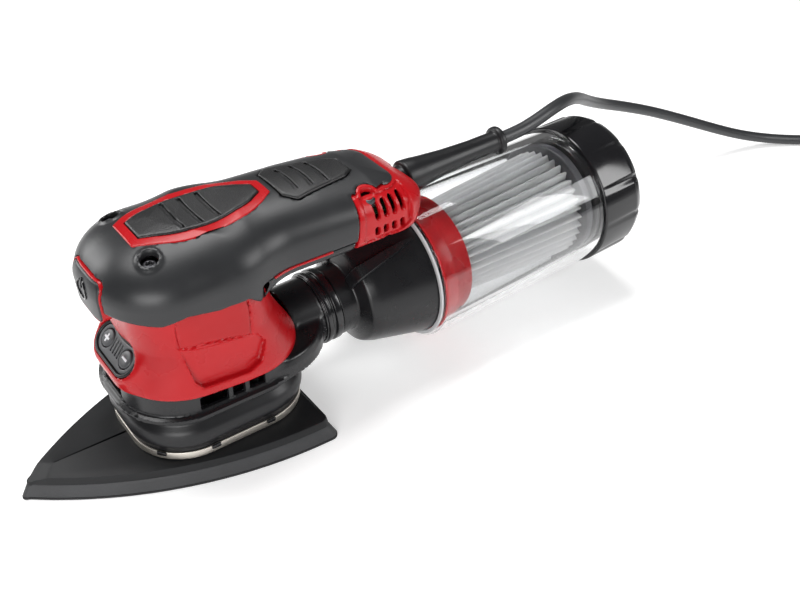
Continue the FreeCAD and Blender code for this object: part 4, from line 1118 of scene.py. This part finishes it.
def build_pad():
    """Hook layer, foam, the roofed backing plate, band and clips."""
    hook_rows = [(0.25, 0.0), (0.0, 0.25), (0.0, 1.2), (0.15, 1.4)]
    hook = loft("hook_sheet", [at_height(delta_outline(inset), z) for inset, z in hook_rows])
    dress(drilled(hook), "pad", "hook", None, ("hook_layer",))

    foam_rows = [(0.5, 1.45), (0.25, 1.7), (0.9, 3.2), (2.2, 6.2), (2.8, 7.6), (3.3, 8.0)]
    foam = loft("foam_layer", [at_height(delta_outline(inset), z) for inset, z in foam_rows])
    dress(drilled(foam), "pad", "foam", None, ("foam_pad",))

    rows = [at_height(delta_outline(inset), z)
            for inset, z in ((3.2, 8.05), (2.9, 8.3), (3.1, 9.6), (3.5, 11.9), (3.75, 12.4),
                              (4.4, 12.6))]
    edge = rows[-1]
    ridge = np.column_stack([np.clip(edge[:, 0], RIDGE_FRONT, RIDGE_REAR), edge[:, 1] * 0.02,
                             np.full(len(edge), RIDGE_HEIGHT)])
    for share in (0.3, 0.6, 0.85, 0.97, 1.0):
        rows.append(edge + (ridge - edge) * share)
    for row in rows:
        row[:, 2] = np.minimum(row[:, 2], np.maximum(8.2 + 0.03 * row[:, 2],
                                                     9.3 + 0.36 * (row[:, 0] + 98.5)))
    plate = welded(loft("roofed_plate", rows, (True, False), False, None), 20)
    dress(plate, "pad", "black_plastic", "pad_plate", ("backing_plate",))

    def closed_skirt(name, profile, radius, steps=3):
        rings = [at_height(skirt_outline(inset), z)
                 for inset, z in softened(profile, radius, steps)]
        return loft(name, rings, (False, False), True, 35)

    band = closed_skirt("skirt_band", [(0, 13.95), (0, 18.2), (1.0, 18.2), (1.0, 13.95)], 0.3)
    dress(band, "pad", "band_metal", None, ("clamp_band",))
    bellows = closed_skirt("skirt_bellows", [
        (1.15, 13.7), (1.15, 18.4), (0.7, 18.7), (0.5, 20.2), (-1.2, 23.6), (-1.3, 26.4),
        (-0.2, 30.4),
        (2.7, 33.6), (3.1, 34.9), (0.9, 35.7), (0.8, 38.2), (5.2, 38.2), (5.2, 13.7)], 1.6, 5)
    dress(bellows, "pad", "rubber", None, ("rubber_bellows",))

    clips = []
    for spot_x in (-15, 16):
        for side in (-1, 1):
            clips.append(block("clip", (4.8, 0.9, 2.3),
                               Matrix.Translation((spot_x, side * (SKIRT_HALF + 0.5), 17.6))))
    lean = math.radians(40)
    for side in (-1, 1):
        spot = Vector((SKIRT_CORNER + SKIRT_FRONT - math.cos(lean) * (SKIRT_CORNER + 0.5),
                       side * (SKIRT_HALF - SKIRT_CORNER + math.sin(lean) * (SKIRT_CORNER + 0.5)),
                       17.6))
        clips.append(block("clip", (0.9, 4.8, 2.3),
                           Matrix.Translation(spot) @ Matrix.Rotation(-side * lean, 4, "Z")))
    dress(joined("skirt_clips", clips), "pad", "black_plastic", None, ("band_clips",))


def welded(obj, angle):
    """The mesh with its coincident points joined and its hard edges marked."""
    work = bmesh.new()
    work.from_mesh(obj.data)
    bmesh.ops.remove_doubles(work, verts=work.verts, dist=0.02 * MM)
    bmesh.ops.dissolve_degenerate(work, edges=work.edges, dist=0.01 * MM)
    work.to_mesh(obj.data)
    work.free()
    sharpen(obj, angle)
    return obj


def block(name, size, place):
    """A box with rounded edges, centred at place."""
    work = bmesh.new()
    bmesh.ops.create_cube(work, size=1)
    bmesh.ops.scale(work, vec=size, verts=work.verts)
    bmesh.ops.bevel(work, geom=work.edges[:], offset=BLOCK_EDGE, segments=3, affect="EDGES",
                    profile=0.5)
    bmesh.ops.transform(work, matrix=Matrix.Scale(MM, 4) @ place, verts=work.verts)
    mesh = bpy.data.meshes.new(name)
    work.to_mesh(mesh)
    work.free()
    shade_smooth(mesh)
    return linked(name, mesh)


BLOCK_EDGE = 0.35
DUCT_BASE = (149.3, 0.0, 48.3)
DUCT_TILT = math.radians(3)


def duct_frame(x, y, z):
    """Distance along the canister's axis, and from it."""
    dx, dz = x - DUCT_BASE[0], z - DUCT_BASE[2]
    along = dx * math.cos(DUCT_TILT) + dz * math.sin(DUCT_TILT)
    rise = dz * math.cos(DUCT_TILT) - dx * math.sin(DUCT_TILT)
    return along, np.hypot(y, rise)


def on_duct(ring):
    """Points (rise, side, along) of the canister's frame in the machine's frame."""
    rise, side, along = ring[:, 0], ring[:, 1], ring[:, 2]
    return np.column_stack([
        DUCT_BASE[0] + along * math.cos(DUCT_TILT) - rise * math.sin(DUCT_TILT), side,
        DUCT_BASE[2] + along * math.sin(DUCT_TILT) + rise * math.cos(DUCT_TILT)])


VENTS = [(-20.5, -4.8), (-3.2, 4.2), (5.8, 15.5)]
VOLUTE = (28.0, 38.0)
SHROUD_WALL = 2.6


def shroud_field(x, y, z):
    """The dust shroud: a shallow lidded shell with vents and the outlet duct."""
    flare = np.interp(z, [39, 39.8, 41.6, 42.6, 55], [-2.0, -3.0, -2.8, -0.3, -0.3])
    lift = housing_low(x) + 0.4
    wall = plan_box(x, y, SKIRT_FRONT - 1.6, SKIRT_REAR, SKIRT_HALF, SKIRT_CORNER + 2) + flare
    outer = smooth_max(smooth_max(wall, 39.0 - z, 0.8), z - lift, 1.0)
    bowl = np.hypot(x - VOLUTE[0], y) - VOLUTE[1] + 0.35 * np.maximum(z - 46, 0)
    bowl = smooth_max(np.maximum(bowl, 39.4 - z), z - 50.2, 1.5)
    outer = smooth_min(outer, bowl, 1.5)
    along, radius = duct_frame(x, y, z)
    tube = np.maximum(radius - 19.0, np.abs(along + 95.4) - 9.0)
    outer = smooth_min(outer, tube, 3.0)
    room = plan_box(x, y, SKIRT_FRONT + SHROUD_WALL, SKIRT_REAR - SHROUD_WALL,
                    SKIRT_HALF - SHROUD_WALL, SKIRT_CORNER - SHROUD_WALL)
    inner = np.maximum(room, np.abs(z - 42.0) - 6.0)
    inner = np.minimum(inner, np.maximum(plan_box(x, y, 28, 58, 12, 4), np.abs(z - 44.4) - 3.3))
    inner = np.minimum(inner, np.maximum(radius - 15.5, np.abs(along + 90) - 10))
    inner = np.minimum(inner, np.maximum(np.hypot(x, y) - 30, np.abs(z - 46) - 6))
    solid = smooth_max(outer, -inner, 0.8)
    vents = np.full(x.shape, FAR)
    for front, rear in VENTS:
        slot = np.maximum(np.abs(x - (front + rear) / 2) - (rear - front) / 2 + 0.6,
                          np.abs(z - 47.2) - 3.7)
        vents = np.minimum(vents, slot)
    vents = np.maximum(vents, 33 - np.abs(y))
    front_slot = np.maximum(np.maximum(np.abs(y - 1) - 10.5, np.abs(z - 48.2) - 4.2), x + 38)
    solid = smooth_max(solid, -vents, 0.7)
    return smooth_max(solid, -front_slot, 0.7)


def build_duct_side():
    """Shroud, outlet collar, adapter, canister, filter and cap."""
    shroud = surface_net("shroud_shell", shroud_field, (-54, -43, 27), (70, 43, 65), 0.9, 40)
    dress(shroud, "machine", "black_plastic", None, ("dust_shroud",))

    def turned(name, profile, radius=0.6, segments=128, steps=3):
        return lathe(name, softened(profile, radius, steps), segments, on_duct, True, 35)

    collar = turned("outlet_rings", [
        (17.9, -86.3), (19.6, -86.3), (19.7, -85.4), (20.6, -85.2), (20.6, -82.8), (19.1, -82.2),
        (19.1, -80.6), (20.6, -80.1), (20.6, -76.4), (17.9, -76.4)], 0.4)
    dress(collar, "machine", "black_plastic", "gloss_black", ("outlet_collar",))

    adapter = turned("adapter_body", [
        (17.5, -85.4), (17.5, -76.2), (19.7, -75.8), (19.7, -66), (28.4, -63.2), (30.6, -58.0),
        (38.2, -27.2), (38.2, -24.4), (36.4, -24.2), (36.4, -15.2), (33.8, -15.2), (34.0, -27),
        (28.0, -58.0), (15.4, -64), (15.4, -85.4)], 1.4, 160, 4)
    adapter = joined("adapter_shell", [adapter] + [adapter_rib(side) for side in (-1, 1)])
    dress(adapter, "adapter", "black_plastic", None, ("canister_adapter",))

    seal = turned("canister_ring", [(38.4, -26.1), (40.6, -26.1), (40.6, -24.7), (38.4, -24.7)],
                  0.4)
    dress(seal, "canister", "rubber", "seal_grey", ("canister_seal",))

    tube = turned("clear_tube", [
        (42.2, -24), (42.2, 95.2), (40.3, 95.2), (40.3, -20.6), (38.9, -22.4), (38.9, -24)],
        0.7, 192)
    dress(tube, "canister", "clear_plastic", None, ("dust_canister",))

    ring = turned("collar_ring", [
        (40.1, -22.4), (40.1, -14), (37.6, -7), (35.2, -0.2), (32.4, -0.2), (36.8, -20),
        (36.8, -22.4)], 0.8, 160)
    dress(ring, "canister", "red_plastic", None, ("red_collar",))

    build_filter()
    cap = lathe("cap_shell", softened([
        (0.01, 92.0), (39.6, 92.0), (39.9, 95.6), (43.7, 95.7), (43.7, 121.4), (41.4, 126.3),
        (37.2, 127.6), (31.2, 127.6), (28.2, 123.4), (0.01, 122.6)], 1.2, 4, False),
        288, grooved_cap, False, 50)
    dress(cap, "cap", "gloss_black", None, ("canister_cap",))


def adapter_rib(side):
    """A wedge that stands on the adapter's cone and runs out at its wide end."""
    rows = []
    for along, top, half, lean in ((-67.4, 26.5, 3.0, 37), (-66.6, 30.5, 3.6, 37),
                                   (-64, 33.6, 3.6, 36.5), (-56, 36.2, 3.2, 35),
                                   (-46, 37.8, 2.6, 33), (-36, 38.5, 1.8, 31),
                                   (-30, 38.7, 0.8, 30)):
        middle = math.radians(lean)
        across = np.array([-1, -1, -0.85, 0.85, 1, 1]) * half
        up = np.array([18, top - 0.9, top, top, top - 0.9, 18])
        rise = up * math.cos(middle) - across * math.sin(middle)
        out = up * math.sin(middle) + across * math.cos(middle)
        rows.append(on_duct(np.column_stack([rise, side * out, np.full(6, along)])))
    return loft("adapter_rib", rows, (True, True), False, 35)


def grooved_cap(ring):
    """The cap's rings set in place, with its grip grooves and notched rear edge."""
    ring = ring.copy()
    radius = np.hypot(ring[:, 0], ring[:, 1])
    angle = np.arctan2(ring[:, 1], ring[:, 0])
    along = ring[0, 2]
    wave = np.clip(np.cos(angle * 12) * 6 - 4.9, 0, 1)
    if radius[0] > 35 and 100 < along < 126.5:
        depth = 1.1 * np.interp(along, [100, 104, 122, 126.5], [0, 1, 1, 0.8])
        ring[:, :2] *= ((radius - depth * wave) / radius)[:, None]
    return on_duct(ring)


def build_filter():
    """The pleated paper cartridge between its two moulded ends."""
    pleats, count = 36, 36 * 12
    angles = np.linspace(0, 2 * math.pi, count, endpoint=False)
    fold = (0.5 + 0.5 * np.cos(pleats * angles)) ** 0.8
    rings = []
    for along, share in ((4.2, 0.0), (24, 0.25), (45, 0.5), (66, 0.75), (85.8, 1.0)):
        peak = 28.0 + 5.4 * share
        valley = 24.5 + 4.5 * share
        radius = valley + (peak - valley) * fold
        rings.append(on_duct(np.column_stack([radius * np.cos(angles), radius * np.sin(angles),
                                              np.full(count, along)])))
    for along in (85.8, 4.2):
        rings.append(on_duct(np.column_stack([20 * np.cos(angles), 20 * np.sin(angles),
                                              np.full(count, along)])))
    paper = loft("pleated_paper", rings, (False, False), True, 60)
    dress(paper, "filter", "filter_paper", None, ("filter_cartridge",))
    nose = lathe("filter_front", softened([(0.01, 0.9), (24, 1.0), (27.4, 2.2), (27.4, 3.9),
                                           (0.01, 3.9)], 0.8, 3, False), 96, on_duct, False, 35)
    dress(nose, "filter", "filter_plastic", None, ("filter_nose",))
    base = lathe("filter_rear", softened([(19, 86.2), (37.5, 86.2), (37.5, 90.9), (19, 90.9)], 0.8),
                 128, on_duct, True, 35)
    dress(base, "filter", "filter_plastic", None, ("filter_base",))


def build_cable_parts():
    """Strain relief and the plug."""
    start = Vector((125.5, 0, 105))
    axis = (Vector((194, 0, 108)) - start).normalized()
    side = Vector((0, 1, 0))
    up = axis.cross(side) * -1

    def along_gland(ring):
        return np.array([tuple(start + up * point[0] + side * point[1] + axis * point[2])
                         for point in ring])

    gland = lathe("gland_sleeve", softened([
        (3.85, -16), (7.0, -16), (7.1, -1.5), (9.6, -0.6), (9.2, 6), (8.4, 12), (6.9, 28),
        (6.0, 46), (5.9, 62.8), (8.0, 63.6), (8.2, 66.4), (6.6, 67.6), (3.85, 67.6)], 0.9, 4),
        72, along_gland, True, 40)
    dress(gland, "machine", "rubber", None, ("cable_gland",))

    turn = (Matrix.Rotation(math.radians(PLUG_ANGLE - 90), 4, "Z")
            @ Matrix.Rotation(math.radians(90), 4, "Y"))
    place = Matrix.Translation(Vector(beside_coil(0))) @ turn

    def on_plug(ring):
        return np.array([tuple(place @ Vector(point)) for point in ring])

    boot_profile = [(3.9, 0.3), (5.4, 0.2)]
    for rib in range(5):
        low = 2.0 + rib * 3.4
        boot_profile += [(5.6 + rib * 0.35, low), (5.6 + rib * 0.35, low + 1.9),
                         (4.8 + rib * 0.35, low + 2.1), (4.8 + rib * 0.35, low + 3.2)]
    boot_profile += [(7.8, 19.8), (7.8, 21.8), (3.9, 21.8)]
    boot = lathe("plug_sleeve", softened(boot_profile, 0.3, 2), 64, on_plug, True, 40)
    dress(boot, "machine", "rubber", None, ("plug_boot",))

    rows = []
    for height, half_wide, half_high, corner in ((21.9, 6.4, 5.0, 4.6), (22.6, 7.0, 5.6, 5),
                                                 (36, 15.4, 6.7, 6), (37, 15.9, 6.8, 6),
                                                 (56.8, 16.9, 6.8, 6), (58, 16.2, 6.2, 5.6)):
        angle = np.linspace(0, math.pi / 2, 10)
        points = []
        for quarter, (sx, sy) in enumerate(((1, 1), (-1, 1), (-1, -1), (1, -1))):
            centre = np.array([sx * (half_high - corner * 0.98), sy * (half_wide - corner)])
            bend = angle + quarter * math.pi / 2
            points.append(centre + corner * 0.98 * np.stack([np.cos(bend), np.sin(bend)], 1))
        rows.append(on_plug(at_height(even(np.vstack(points), 96), height)))
    body = loft("plug_housing", rows, (True, True), False, 40)
    dress(body, "machine", "plug_plastic", None, ("plug_body",))

    pins = []
    for side_sign in (-1, 1):
        def pin_place(ring, side_sign=side_sign):
            return on_plug(ring + np.array([0, side_sign * 9.5, 0]))
        pins.append(lathe("pin", softened([(0.01, 57.6), (2.4, 57.6), (2.4, 76.2), (1.2, 77),
                                           (0.01, 77)], 0.6, 3, False), 40, pin_place, False, 40))
    dress(joined("plug_contacts", pins), "machine", "pin_metal", None, ("plug_pins",))
    return boot, body, bpy.data.objects["plug_contacts"]


def build_floor():
    """The pale floor."""
    points = np.array([(-4000, -4000, -0.15), (4000, -4000, -0.15), (4000, 4000, -0.15),
                       (-4000, 4000, -0.15)])
    floor = made_object("floor", points, [(0, 1, 2, 3)])
    floor.data.materials.append(MATERIALS["floor_paint"])


def dress_inner_parts():
    """The CAD nodes that stay: each gets its slot's finish."""
    for part in frame["record"]["subparts"]:
        obj = frame["nodes"].get(part["node"])
        if obj is not None and not obj.hide_render:
            obj.data.materials.clear()
            obj.data.materials.append(MATERIALS[part["material_slot"]])


# ---------------------------------------------------------------- the scene

build_camera()
build_lights()
bpy.context.scene.view_settings.view_transform = "Standard"
build_floor()
cord = build_cord()
build_grip()
build_housing()
build_pad()
build_duct_side()
plug_pieces = build_cable_parts()
dress_inner_parts()
